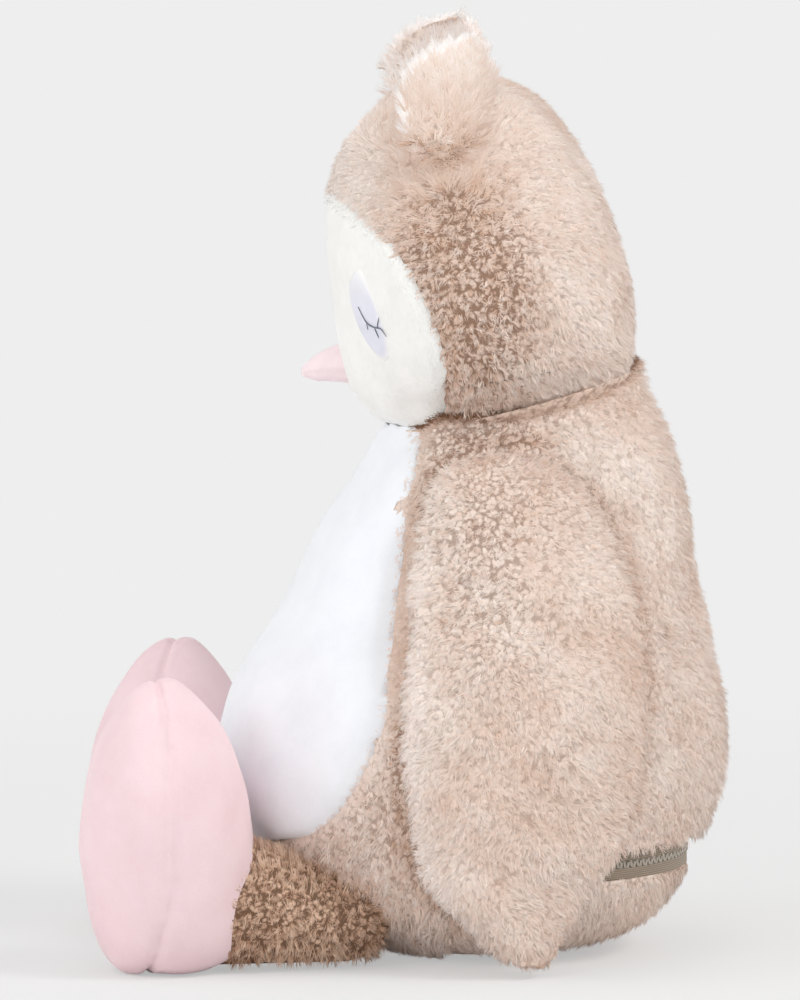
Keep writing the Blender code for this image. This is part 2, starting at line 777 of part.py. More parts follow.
def ear_pieces(form):
    turned = (
        Matrix.Translation(EAR_ROOT)
        @ Matrix.Rotation(math.radians(EAR_TURN), 4, "Z")
        @ Matrix.Translation(-EAR_ROOT)
    )
    units = (EAR_HEIGHT, EAR_HALF, EAR_HALF, EAR_HALF, EAR_THICK)
    root = (EAR_Z, EAR_Y, EAR_Y, EAR_X, 0)
    rows = [row + root for row in through_rows(EAR_ROWS, units, EAR_LEVELS)]
    for sign, part, look in ((1, "_outer", FUR), (-1, "_lining", FUR_PALE)):
        piece = leaf_half(rows, EAR_AROUND, EAR_CUP, sign, outer_face=False)
        piece.data.transform(turned)
        carve(piece, grown(form, SEAM_GAP))
        paired(piece, ("ear", part), look, EAR_ROOT)


def wing_pieces(form):
    hinge = (WING_HINGE_X, TORSO_Y, WING_HINGE_Z)
    units = (WING_HINGE_Z, ZIP_SEAT_R, ZIP_SEAT_R, ZIP_SEAT_R, WING_THICK)
    rows = through_rows(WING_ROWS, units, WING_LEVELS)
    for sign, part in ((1, "_outer"), (-1, "_lining")):
        piece = leaf_half(rows, WING_AROUND, WING_CURL, sign, outer_face=True)
        carve(piece, grown(form, SEAM_GAP))
        paired(piece, ("wing", part), FUR, hinge)


def foot_rows():
    return through_rows(FOOT_ROWS, (FOOT_TOP, FOOT_HALF, FOOT_HALF, FOOT_HALF), FOOT_LEVELS)


def foot_half(sign):
    """The sole for a sign of -1, in front of the foot's seam, or the instep for 1, behind it."""
    rings = []
    for height, before, behind, half in foot_rows():
        reach = behind if sign > 0 else before
        ring = []
        for angle in np.linspace(0, math.pi, FOOT_AROUND // 2 + 1):
            y = -FOOT_SEAM + sign * (SEAM_GAP / 2 + reach * math.sin(angle))
            ring.append(Vector((half * math.cos(angle), y, height - HIP.z)))
        rings.append(ring)
    return skin_over_flat("guide", rings)


def whole_foot():
    rings = []
    for height, before, behind, half in foot_rows():
        ring = oval(height - HIP.z, before, behind, half, -FOOT_SEAM, FOOT_AROUND)
        rings.append(ring)
    return skin_over("guide", rings)


def leg_tube():
    """The leg, with its ball end at the hip and its front end under the foot."""
    sections = []
    for angle in np.radians(np.linspace(*HIP_END_ANGLES, LEG_RINGS)):
        sections.append((HIP_BALL_R * math.cos(angle), HIP_BALL_R * math.sin(angle), 0.0))
    sections.append((0.0, HIP_BALL_R, 0.0))
    for share in np.linspace(0, 1, LEG_RINGS)[1:]:
        radius = HIP_BALL_R + (LEG_R - HIP_BALL_R) * math.sin(share * math.pi / 2)
        sections.append((-LEG_REACH * share, radius, radius - HIP.z - FLAT_CUT))
    rings = []
    for y, radius, middle in sections:
        ring = []
        for i in range(LEG_AROUND):
            angle = 2 * math.pi * i / LEG_AROUND
            ring.append(Vector((radius * math.cos(angle), y, middle + radius * math.sin(angle))))
        rings.append(ring)
    return skin_over("guide", rings)


def leg_pieces(form, side, turn, lean):
    name = "left" if side > 0 else "right"
    hip = hip_at(side)
    place = Matrix.Translation(hip) @ Matrix.Rotation(math.radians(side * turn), 4, "Z")
    heel = Vector((0, -FOOT_SEAM, -HIP.z))
    tilt = (
        Matrix.Translation(heel)
        @ Matrix.Rotation(math.radians(-lean), 4, "X")
        @ Matrix.Translation(-heel)
    )
    tube = leg_tube()
    foot = whole_foot()
    foot.data.transform(tilt)
    carve(tube, grown(foot, SEAM_GAP))
    bpy.data.objects.remove(foot, do_unlink=True)
    pieces = [(tube, f"leg_{name}", FUR_DARK)]
    for sign, part in ((-1, "sole"), (1, "instep")):
        half = foot_half(sign)
        half.data.transform(tilt)
        pieces.append((half, f"foot_{part}_{name}", PINK_KNIT))
    for piece, label, look in pieces:
        piece.data.transform(place)
        carve(piece, half_space(0.0, above=True), "INTERSECT")
        carve(piece, grown(form, SEAM_GAP))
        dress(piece, label, look, hip)


def stringer(name, sign):
    """One side of the zip: its tape with a row of teeth, the torso's for a sign of 1."""
    root = ZIP_Z + sign * (TOOTH_LENGTH - TOOTH_BITE / 2)
    far = ZIP_Z + sign * CHANNEL_HALF
    pitch = 2 * TOOTH_END / TOOTH_COUNT
    shift = 0.0 if sign > 0 else pitch / 2
    starts = [-TOOTH_END + shift + i * pitch for i in range(TOOTH_COUNT - (sign < 0))]
    stations = [-TAPE_END]
    for start in starts:
        stations += [start + pitch * (0.5 - TOOTH_SHARE) / 2, start + pitch * (0.5 + TOOTH_SHARE) / 2]
    stations.append(TAPE_END)
    shape = bmesh.new()
    layers = []
    for angle in np.radians(stations):
        out = Vector((math.sin(angle), math.cos(angle), 0))
        centre = Vector((0, TORSO_Y, 0))
        corners = (
            (TAPE_INNER_R, root),
            (TAPE_OUTER_R, root),
            (TAPE_OUTER_R, far),
            (TAPE_INNER_R, far),
        )
        layers.append([shape.verts.new(centre + out * r + Vector((0, 0, z))) for r, z in corners])
    toothed = []
    for k, (here, there) in enumerate(zip(layers, layers[1:])):
        for i in range(4):
            j = (i + 1) % 4
            face = shape.faces.new((here[i], here[j], there[j], there[i]))
            if i == 0 and k % 2 == 1:
                toothed.append(face)
    shape.faces.new(layers[0])
    shape.faces.new(layers[-1])
    bmesh.ops.recalc_face_normals(shape, faces=shape.faces)
    tips = bmesh.ops.extrude_discrete_faces(shape, faces=toothed)["faces"]
    for tip in tips:
        for vertex in tip.verts:
            out = Vector((vertex.co.x, vertex.co.y - TORSO_Y, 0))
            flare = TOOTH_FLARE if out.length > TAPE_OUTER_R - TAPE_THICK / 2 else -TOOTH_FLARE
            vertex.co += out.normalized() * flare
            vertex.co.z -= sign * TOOTH_LENGTH
    return finished(name, shape)


def slider_piece():
    """The slider's two plates and post, with the two cheeks and the pin that carry its pull."""
    first = SLIDER_AT - SLIDER_HALF_ANGLE
    last = SLIDER_AT + SLIDER_HALF_ANGLE
    low = ZIP_Z - SLIDER_HALF_H
    high = ZIP_Z + SLIDER_HALF_H
    front = SLIDER_FRONT_R
    rear = SLIDER_REAR_R
    body = sector(front, front + SLIDER_PLATE, low, high, first, last, 4)
    carve(body, sector(rear - SLIDER_PLATE, rear, low, high, first, last, 4), "UNION")
    post = sector(
        rear - SLIDER_PLATE / 2,
        front + SLIDER_PLATE / 2,
        low,
        low + SLIDER_POST_H,
        first,
        first + SLIDER_POST_ANGLE,
        1,
    )
    carve(body, post, "UNION")
    pin_at = front + SLIDER_PLATE + PIN_OUT
    half = PULL_EYE_WIDTH / 2 + SEAM_GAP
    for side in (-1, 1):
        cheek = block_at_slider(
            (side * half, side * (half + CHEEK)),
            (front + SLIDER_PLATE / 2, pin_at + 2 * PIN_R),
            (ZIP_Z - PULL_EYE_R, ZIP_Z + PULL_EYE_R),
        )
        carve(body, cheek, "UNION")
    pin = rod_at_slider(half + CHEEK / 2, pin_at, PIN_R)
    carve(body, pin, "UNION")
    return body, pin_at


def slider_frame():
    angle = math.radians(SLIDER_AT)
    return Matrix.Translation((0, TORSO_Y, 0)) @ Matrix.Rotation(-angle, 4, "Z")


def block_at_slider(xs, ys, zs):
    corners = ((ys[0], zs[0]), (ys[1], zs[0]), (ys[1], zs[1]), (ys[0], zs[1]))
    rings = [[Vector((x, y, z)) for y, z in corners] for x in sorted(xs)]
    item = skin_over_flat("guide", rings)
    item.data.transform(slider_frame())
    return item


def rod_at_slider(half, out, radius):
    rings = []
    for x in (-half, half):
        ring = []
        for i in range(12):
            angle = 2 * math.pi * i / 12
            ring.append(Vector((x, out + radius * math.cos(angle), ZIP_Z + radius * math.sin(angle))))
        rings.append(ring)
    item = skin_over_flat("guide", rings)
    item.data.transform(slider_frame())
    return item


def zip_pieces():
    torso_side = stringer("guide", 1)
    flap_side = stringer("guide", -1)
    dress(torso_side, "zip_stringer_torso", TAPE)
    dress(flap_side, "zip_stringer_base", TAPE, (0, FLAP_HINGE_Y, FLAP_HINGE_Z))
    body, pin_at = slider_piece()
    dress(body, "zip_slider", METAL, (0, TORSO_Y, ZIP_Z))
    eye = rod_at_slider(PULL_EYE_WIDTH / 2, pin_at, PULL_EYE_R)
    tab = block_at_slider(
        (-PULL_WIDTH / 2, PULL_WIDTH / 2),
        (pin_at - PULL_THICK / 2, pin_at + PULL_THICK / 2),
        (ZIP_Z - PULL_LENGTH - PULL_NECK, ZIP_Z - PULL_EYE_R - PULL_NECK / 2),
    )
    neck = block_at_slider(
        (-PULL_EYE_WIDTH / 2, PULL_EYE_WIDTH / 2),
        (pin_at - PULL_THICK / 2, pin_at + PULL_THICK / 2),
        (ZIP_Z - PULL_EYE_R - PULL_NECK, ZIP_Z - PULL_EYE_R / 2),
    )
    carve(eye, neck, "UNION")
    carve(eye, tab, "UNION")
    carve(eye, rod_at_slider(PULL_EYE_WIDTH, pin_at, PIN_R + SEAM_GAP))
    pin_point = slider_frame() @ Vector((0, pin_at, ZIP_Z))
    dress(eye, "zip_pull", METAL, pin_point)
    start = TAPE_END + STOP_AFTER
    low = ZIP_Z - STOP_BELOW
    stop = sector(TOOTH_INNER_R, TOOTH_OUTER_R, low, ZIP_Z + CHANNEL_HALF, start, start + STOP_ANGLE, 1)
    dress(stop, "zip_stop", METAL)


def build():
    clear_scene()
    torso = torso_pieces()
    neck_band()
    head = head_pieces()
    eye_pieces(head)
    beak_pieces(head)
    ear_pieces(head)
    wing_pieces(torso)
    leg_pieces(torso, 1, LEG_TURN_LEFT, FOOT_LEAN_LEFT)
    leg_pieces(torso, -1, LEG_TURN_RIGHT, FOOT_LEAN_RIGHT)
    zip_pieces()
    for item in list(bpy.data.objects):
        if item.name.startswith("guide"):
            bpy.data.objects.remove(item, do_unlink=True)


build()
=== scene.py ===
import math

import bmesh
import bpy
import numpy as np
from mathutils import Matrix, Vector
from mathutils.bvhtree import BVHTree


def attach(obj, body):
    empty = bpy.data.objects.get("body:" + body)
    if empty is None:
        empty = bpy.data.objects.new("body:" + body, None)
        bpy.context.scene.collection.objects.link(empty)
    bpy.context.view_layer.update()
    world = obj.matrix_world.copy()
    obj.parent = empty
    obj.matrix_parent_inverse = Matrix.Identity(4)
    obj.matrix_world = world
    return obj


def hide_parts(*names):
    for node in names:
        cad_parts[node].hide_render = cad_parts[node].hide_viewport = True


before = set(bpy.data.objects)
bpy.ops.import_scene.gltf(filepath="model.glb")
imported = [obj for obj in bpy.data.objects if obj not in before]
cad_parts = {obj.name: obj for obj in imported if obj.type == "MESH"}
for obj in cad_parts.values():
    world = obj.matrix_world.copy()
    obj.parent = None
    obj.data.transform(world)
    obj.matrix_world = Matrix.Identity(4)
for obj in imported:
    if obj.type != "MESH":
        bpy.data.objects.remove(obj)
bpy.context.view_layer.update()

MM = 0.001
CLOTH = 0.8 * MM

# The owl's forms, with the same sizes as the solids
TORSO_Y = 0.031
ZIP_Z = 0.042
ZIP_BAND = 0.0063
TORSO_ROWS = [
    (-0.0005, 0.012, 0.012, 0.012),
    (0.0000, 0.036, 0.033, 0.044),
    (0.0040, 0.046, 0.053, 0.060),
    (0.0120, 0.061, 0.072, 0.074),
    (0.0260, 0.081, 0.085, 0.086),
    (0.0420, 0.097, 0.092, 0.092),
    (0.0580, 0.107, 0.098, 0.096),
    (0.0780, 0.109, 0.1025, 0.0985),
    (0.1040, 0.103, 0.102, 0.097),
    (0.1300, 0.090, 0.098, 0.092),
    (0.1610, 0.072, 0.092, 0.083),
    (0.1930, 0.053, 0.087, 0.072),
    (0.2150, 0.040, 0.082, 0.061),
    (0.2320, 0.028, 0.075, 0.050),
    (0.2460, 0.016, 0.067, 0.034),
    (0.2520, 0.006, 0.040, 0.012),
]
TUMMY_EDGE = [
    (0.2600, 0.0110),
    (0.2150, 0.0030),
    (0.1850, -0.0030),
    (0.1550, -0.0060),
    (0.1200, -0.0100),
    (0.0950, -0.0160),
    (0.0720, -0.0270),
    (0.0560, -0.0410),
    (0.0490, -0.0600),
    (0.0470, -0.1000),
]
FLAP_Y, FLAP_RISE_Y = 0.012, 0.044

NECK = np.array((0.0, 0.031, 0.288))
NECK_R = 0.080
NECK_AXIS = np.array((0.0, math.sin(math.radians(14)), -math.cos(math.radians(14))))
HEAD_ON_BALL_TO = 53.0

HEAD_Y = 0.033
HEAD_ROWS = [
    (-0.0805, 0.010, 0.010, 0.010),
    (-0.0770, 0.024, 0.027, 0.024),
    (-0.0690, 0.043, 0.047, 0.042),
    (-0.0590, 0.053, 0.058, 0.055),
    (-0.0470, 0.0585, 0.0635, 0.068),
    (-0.0320, 0.0610, 0.0650, 0.078),
    (-0.0120, 0.0635, 0.0630, 0.082),
    (0.0100, 0.0650, 0.0570, 0.079),
    (0.0290, 0.0635, 0.0500, 0.072),
    (0.0440, 0.0575, 0.0420, 0.0635),
    (0.0560, 0.0480, 0.0330, 0.0535),
    (0.0670, 0.0350, 0.0215, 0.0390),
    (0.0730, 0.0210, 0.0110, 0.0230),
    (0.0750, 0.0080, 0.0040, 0.0080),
]
FACE_EDGE = [
    (0.1980, 0.0180),
    (0.2250, 0.0168),
    (0.2450, 0.0165),
    (0.2620, 0.0120),
    (0.2810, 0.0040),
    (0.2970, -0.0045),
    (0.3095, -0.0190),
    (0.3170, -0.0310),
    (0.3180, -0.0600),
]
EYE = np.array((0.0545, -0.0150, 0.269))
EYE_TURN = math.radians(57)
PATCH_W, PATCH_H = 0.0150, 0.0205

BEAK_Z = 0.2435
BEAK_ROWS = [
    (-0.0180, 0.0003, 0.0082, 0.0115),
    (-0.0250, 0.0000, 0.0078, 0.0105),
    (-0.0310, -0.0010, 0.0066, 0.0086),
    (-0.0360, -0.0022, 0.0047, 0.0058),
    (-0.0395, -0.0034, 0.0025, 0.0030),
    (-0.0406, -0.0040, 0.0009, 0.0011),
]

EAR_ROOT = np.array((0.0672, 0.0170, 0.3290))
EAR_TURN = math.radians(26)
EAR_CUP = 0.0060
EAR_ROWS = [
    (0.3290, 0.0080, 0.0260, 0.0690, 0.0080),
    (0.3340, 0.0035, 0.0300, 0.0690, 0.0110),
    (0.3430, -0.0010, 0.0355, 0.0680, 0.0120),
    (0.3530, -0.0050, 0.0400, 0.0660, 0.0120),
    (0.3640, -0.0070, 0.0430, 0.0635, 0.0115),
    (0.3740, -0.0040, 0.0445, 0.0615, 0.0105),
    (0.3830, 0.0040, 0.0435, 0.0600, 0.0090),
    (0.3890, 0.0145, 0.0405, 0.0590, 0.0065),
    (0.3925, 0.0255, 0.0355, 0.0585, 0.0034),
]

WING_CURL = 0.012
WING_ROWS = [
    (0.2140, 0.0290, 0.0490, 0.0710, 0.0060),
    (0.2090, 0.0170, 0.0620, 0.0820, 0.0140),
    (0.1930, 0.0055, 0.0790, 0.0970, 0.0220),
    (0.1650, 0.0010, 0.0910, 0.1090, 0.0260),
    (0.1360, -0.0010, 0.0970, 0.1160, 0.0270),
    (0.1050, -0.0030, 0.0980, 0.1200, 0.0270),
    (0.0800, -0.0030, 0.0950, 0.1205, 0.0260),
    (0.0570, 0.0000, 0.0880, 0.1195, 0.0250),
    (0.0380, 0.0080, 0.0780, 0.1175, 0.0225),
    (0.0200, 0.0230, 0.0670, 0.1150, 0.0180),
    (0.0080, 0.0360, 0.0600, 0.1120, 0.0120),
    (0.0030, 0.0440, 0.0540, 0.1090, 0.0060),
]

HIP = np.array((0.060, -0.024, 0.020))
LEG_R, HIP_R, LEG_REACH = 0.0285, 0.0195, 0.064
LEG_TURNS = {"left": 8.0, "right": 14.0}
FOOT_LEANS = {"left": 0.0, "right": 5.0}
FOOT_SEAM = 0.077
FOOT_ROWS = [
    (-0.0005, 0.008, 0.008, 0.010),
    (0.0010, 0.019, 0.019, 0.021),
    (0.0080, 0.025, 0.029, 0.029),
    (0.0220, 0.030, 0.035, 0.036),
    (0.0400, 0.033, 0.037, 0.040),
    (0.0600, 0.0335, 0.0365, 0.041),
    (0.0790, 0.031, 0.033, 0.038),
    (0.0960, 0.026, 0.026, 0.031),
    (0.1100, 0.018, 0.017, 0.021),
    (0.1195, 0.008, 0.007, 0.009),
    (0.1215, 0.002, 0.002, 0.003),
]

SIDES = ((1, "left"), (-1, "right"))


# Numbers on surfaces
def unit(v):
    return v / np.maximum(np.linalg.norm(v, axis=-1, keepdims=True), 1e-12)


def smooth_step(x, low, high):
    t = np.clip((x - low) / (high - low), 0, 1)
    return t * t * (3 - 2 * t)


def through_rows(rows, count):
    """Reads count rows from a smooth curve through the given rows, evenly by row number."""
    table = np.array(rows, float)
    padded = np.vstack([2 * table[0] - table[1], table, 2 * table[-1] - table[-2]])
    places = np.linspace(0, len(table) - 1, count)
    span = np.minimum(places.astype(int), len(table) - 2)
    t = (places - span)[:, None]
    a, b, c, d = (padded[span + i] for i in range(4))
    return 0.5 * (2 * b + (c - a) * t + (2 * a - 5 * b + 4 * c - d) * t**2 + (3 * b - a - 3 * c + d) * t**3)


class Waves:
    """A smooth random field of about -1 to 1, made of plane waves of about one length."""

    def __init__(self, length, seed, count=18):
        rng = np.random.default_rng(seed)
        way = unit(rng.normal(size=(count, 3)))
        size = 2 * math.pi / (length * rng.uniform(0.6, 1.6, count))
        self.k = way * size[:, None]
        self.phase = rng.uniform(0, 2 * math.pi, count)
        self.scale = 1 / math.sqrt(count / 4)

    def __call__(self, points):
        shape = points.shape[:-1]
        flat = points.reshape(-1, 3)
        return (np.sin(flat @ self.k.T + self.phase).sum(axis=1) * self.scale / 2).reshape(shape)


class Grid:
    """A surface as rows of points that close round, with normals that point out of it."""

    def __init__(self, points):
        self.p = np.array(points, float)
        self.refresh()

    def refresh(self):
        along = np.gradient(self.p, axis=0)
        across = np.roll(self.p, -1, 1) - np.roll(self.p, 1, 1)
        n = np.cross(across, along)
        centre = self.p.mean(axis=(0, 1))
        self.flip = float((n * (self.p - centre)).sum()) < 0
        if self.flip:
            n = -n
        self.n = unit(n)

    def pushed(self, distance):
        """A copy moved along its normals by one distance or by one for each point."""
        step = np.asarray(distance)
        return Grid(self.p + self.n * (step[..., None] if step.ndim else step))

    def mirrored(self):
        return Grid(self.p * np.array((-1, 1, 1)))

    def capped(self):
        """A copy whose end rows run in to their middles."""
        first, last = self.p[0], self.p[-1]
        inner = [first.mean(axis=0) + (first - first.mean(axis=0)) * share for share in (0.04, 0.5)]
        outer = [last.mean(axis=0) + (last - last.mean(axis=0)) * share for share in (0.5, 0.04)]
        return Grid(np.concatenate([np.array(inner), self.p, np.array(outer)]))

    def turned(self, turn, origin):
        """A copy turned by a 3 x 3 matrix about an origin."""
        return Grid((self.p - origin) @ turn.T + origin)


def turn_z(radians):
    c, s = math.cos(radians), math.sin(radians)
    return np.array(((c, -s, 0), (s, c, 0), (0, 0, 1)))


def turn_x(radians):
    c, s = math.cos(radians), math.sin(radians)
    return np.array(((1, 0, 0), (0, c, -s), (0, s, c)))


def read_rows(rows, z, *columns):
    """Columns of a table of rows at some heights, which are in its first column."""
    table = through_rows(rows, 60)
    if table[0, 0] > table[-1, 0]:
        table = table[::-1]
    return [np.interp(z, table[:, 0], table[:, column]) for column in columns]


def side_signs(p):
    """(1, 1, 1) for places on the left and (-1, 1, 1) for places on the right."""
    return np.stack([np.sign(p[:, 0]), np.ones(len(p)), np.ones(len(p))], axis=1)


def oval_grid(rows, levels, around, middle_y, power=2.0, base_z=0.0):
    table = through_rows(rows, levels)
    angle = 2 * math.pi * np.arange(around) / around
    c, s = np.cos(angle), np.sin(angle)
    x = np.sign(c) * np.abs(c) ** (2 / power)
    y = np.sign(s) * np.abs(s) ** (2 / power)
    height, front, back, half = table.T
    points = np.empty((levels, around, 3))
    points[..., 0] = half[:, None] * x
    points[..., 1] = middle_y + np.where(s > 0, back[:, None], front[:, None]) * y
    points[..., 2] = base_z + height[:, None]
    return points


def leaf_grid(rows, levels, around, curl, outer_face, top_in, front_in, back_in, face_in, bottom_in=0.0):
    """A stuffed leaf that stands in z, closed, and drawn in by some lengths at its ends, edges and faces."""
    table = through_rows(rows, levels)
    low, high = table[:, 0].min(), table[:, 0].max()
    table[:, 0] = low + bottom_in + (table[:, 0] - low) * (high - low - bottom_in - top_in) / (high - low)
    grown = smooth_step(table[:, 0], low, low + 0.4 * (high - low))
    table[:, 1] += front_in * grown
    table[:, 2] -= back_in * grown
    half = (table[:, 2] - table[:, 1]) / 2
    middle_y = (table[:, 2] + table[:, 1]) / 2
    half = np.maximum(half, 3.0 * MM)
    table[:, 1], table[:, 2] = middle_y - half, middle_y + half
    thin = np.maximum(table[:, 4] - 2 * face_in, 1.6 * MM)
    table[:, 3] -= (table[:, 4] - thin) / 2 if outer_face else 0
    table[:, 4] = thin
    angle = 2 * math.pi * np.arange(around) / around
    share, bulge = np.cos(angle), np.sin(angle)
    height, front, back, distance, thick = (column[:, None] for column in table.T)
    middle = distance - thick / 2 if outer_face else distance
    points = np.empty((levels, around, 3))
    points[..., 0] = middle - curl * share**2 + thick / 2 * bulge
    points[..., 1] = (front + back) / 2 + (back - front) / 2 * share
    points[..., 2] = height
    return points


# Meshes
def add_object(name, mesh):
    item = bpy.data.objects.new(name, mesh)
    bpy.context.scene.collection.objects.link(item)
    return item


def smooth_object(name, verts, faces):
    mesh = bpy.data.meshes.new(name)
    mesh.from_pydata([tuple(v) for v in verts], [], faces)
    mesh.shade_smooth()
    return add_object(name, mesh)


def grid_object(name, grid, keep=None, thick=None):
    """A mesh of a grid with fanned ends, or of the faces whose middles a test keeps, thickened inwards."""
    rows, around = grid.p.shape[:2]
    index = np.arange(rows * around).reshape(rows, around)
    a, b = index[:-1], np.roll(index[:-1], -1, 1)
    d, c = index[1:], np.roll(index[1:], -1, 1)
    quads = np.stack([a, b, c, d], axis=-1).reshape(-1, 4)
    verts = grid.p.reshape(-1, 3)
    faces = quads if not grid.flip else quads[:, ::-1]
    if keep is not None:
        faces = faces[keep(verts[faces].mean(axis=1))]
    faces = [tuple(int(i) for i in f) for f in faces]
    verts = [tuple(v) for v in verts]
    for ring, forward in ((index[0], grid.flip), (index[-1], not grid.flip)):
        spot = grid.p.reshape(-1, 3)[ring].mean(axis=0)
        if keep is None or keep(spot[None])[0]:
            middle = len(verts)
            verts.append(tuple(spot))
            for i in range(around):
                first, second = int(ring[i]), int(ring[(i + 1) % around])
                faces.append((first, second, middle) if forward else (second, first, middle))
    item = smooth_object(name, verts, faces)
    if keep is not None:
        drop_loose(item.data)
    if thick:
        modifier = item.modifiers.new("thick", "SOLIDIFY")
        modifier.thickness = thick
        modifier.offset = -1
        apply_modifiers(item)
    item.data.shade_smooth()
    return item


def drop_loose(mesh):
    shape = bmesh.new()
    shape.from_mesh(mesh)
    bmesh.ops.delete(shape, geom=[v for v in shape.verts if not v.link_faces], context="VERTS")
    shape.to_mesh(mesh)
    shape.free()


def apply_modifiers(item):
    graph = bpy.context.evaluated_depsgraph_get()
    mesh = bpy.data.meshes.new_from_object(item.evaluated_get(graph))
    item.modifiers.clear()
    item.data = mesh
    mesh.name = item.name


def ring_object(name, rings, capped):
    """Rings of points, each joined to the next, with a cap at each end or closed on itself."""
    count, sides = rings.shape[:2]
    faces = []
    for i in range(count - 1 if capped else count):
        k = (i + 1) % count
        for j in range(sides):
            m = (j + 1) % sides
            faces.append((i * sides + j, i * sides + m, k * sides + m, k * sides + j))
    if capped:
        faces.append(tuple(reversed(range(sides))))
        faces.append(tuple((count - 1) * sides + j for j in range(sides)))
    return smooth_object(name, rings.reshape(-1, 3), faces)


def thread_object(name, path, radius, out):
    """A thread along a path, a little flattened against what it is sewn to."""
    sides, flat = 6, 0.7
    along = unit(np.gradient(path, axis=0))
    side = unit(np.cross(along, out))
    over = np.cross(side, along)
    angle = 2 * math.pi * np.arange(sides) / sides
    ring = side[:, None] * np.cos(angle)[:, None] + over[:, None] * (np.sin(angle) * flat)[:, None]
    return ring_object(name, path[:, None] + ring * radius[:, None, None], capped=True)


def joined(name, items):
    """One mesh of several objects that have no parent and no transform."""
    verts, faces = [], []
    for item in items:
        start = len(verts)
        verts += [tuple(v.co) for v in item.data.vertices]
        faces += [tuple(start + i for i in f.vertices) for f in item.data.polygons]
        bpy.data.objects.remove(item, do_unlink=True)
    return smooth_object(name, verts, faces)


# Fur
LEAN = (34, 68)
LEAF_THICK = 0.04 * MM
MOST_LEAVES = 32000


def scatter(grid, spacing, rng, keep, soft, facing):
    """Random places on a grid, about one spacing apart, with normals that may be averages over some rows.

    keep tests places, and facing tests places with their normals.
    """
    grid = grid.capped()
    p, n = grid.p, grid.n
    if soft:
        rows = np.arange(len(n))
        n = sum(n[np.clip(rows + i, 0, len(n) - 1)] for i in range(-soft, soft + 1))
        n = unit(sum(np.roll(n, i, 1) for i in range(-soft, soft + 1)))
    pa, pb, pc, pd = p[:-1], np.roll(p[:-1], -1, 1), np.roll(p[1:], -1, 1), p[1:]
    na, nb, nc, nd = n[:-1], np.roll(n[:-1], -1, 1), np.roll(n[1:], -1, 1), n[1:]
    area = np.linalg.norm(np.cross(pc - pa, pd - pb), axis=-1).ravel() / 2
    count = int(area.sum() / spacing**2 * 5)
    pick = rng.choice(len(area), count, p=area / area.sum())
    u, v = rng.random((2, count, 1))

    def between(a, b, c, d):
        a, b, c, d = (m.reshape(-1, 3)[pick] for m in (a, b, c, d))
        return (a * (1 - u) + b * u) * (1 - v) + (d * (1 - u) + c * u) * v

    place = between(pa, pb, pc, pd)
    normal = unit(between(na, nb, nc, nd))
    if keep is not None:
        kept = keep(place)
        place, normal = place[kept], normal[kept]
    if facing is not None:
        kept = facing(place, normal)
        place, normal = place[kept], normal[kept]
    cells = np.floor(place / (spacing * 1.12) + 500).astype(np.int64)
    number = (cells[:, 0] * 4096 + cells[:, 1]) * 4096 + cells[:, 2]
    _, first = np.unique(number, return_index=True)
    first.sort()
    return place[first], normal[first]


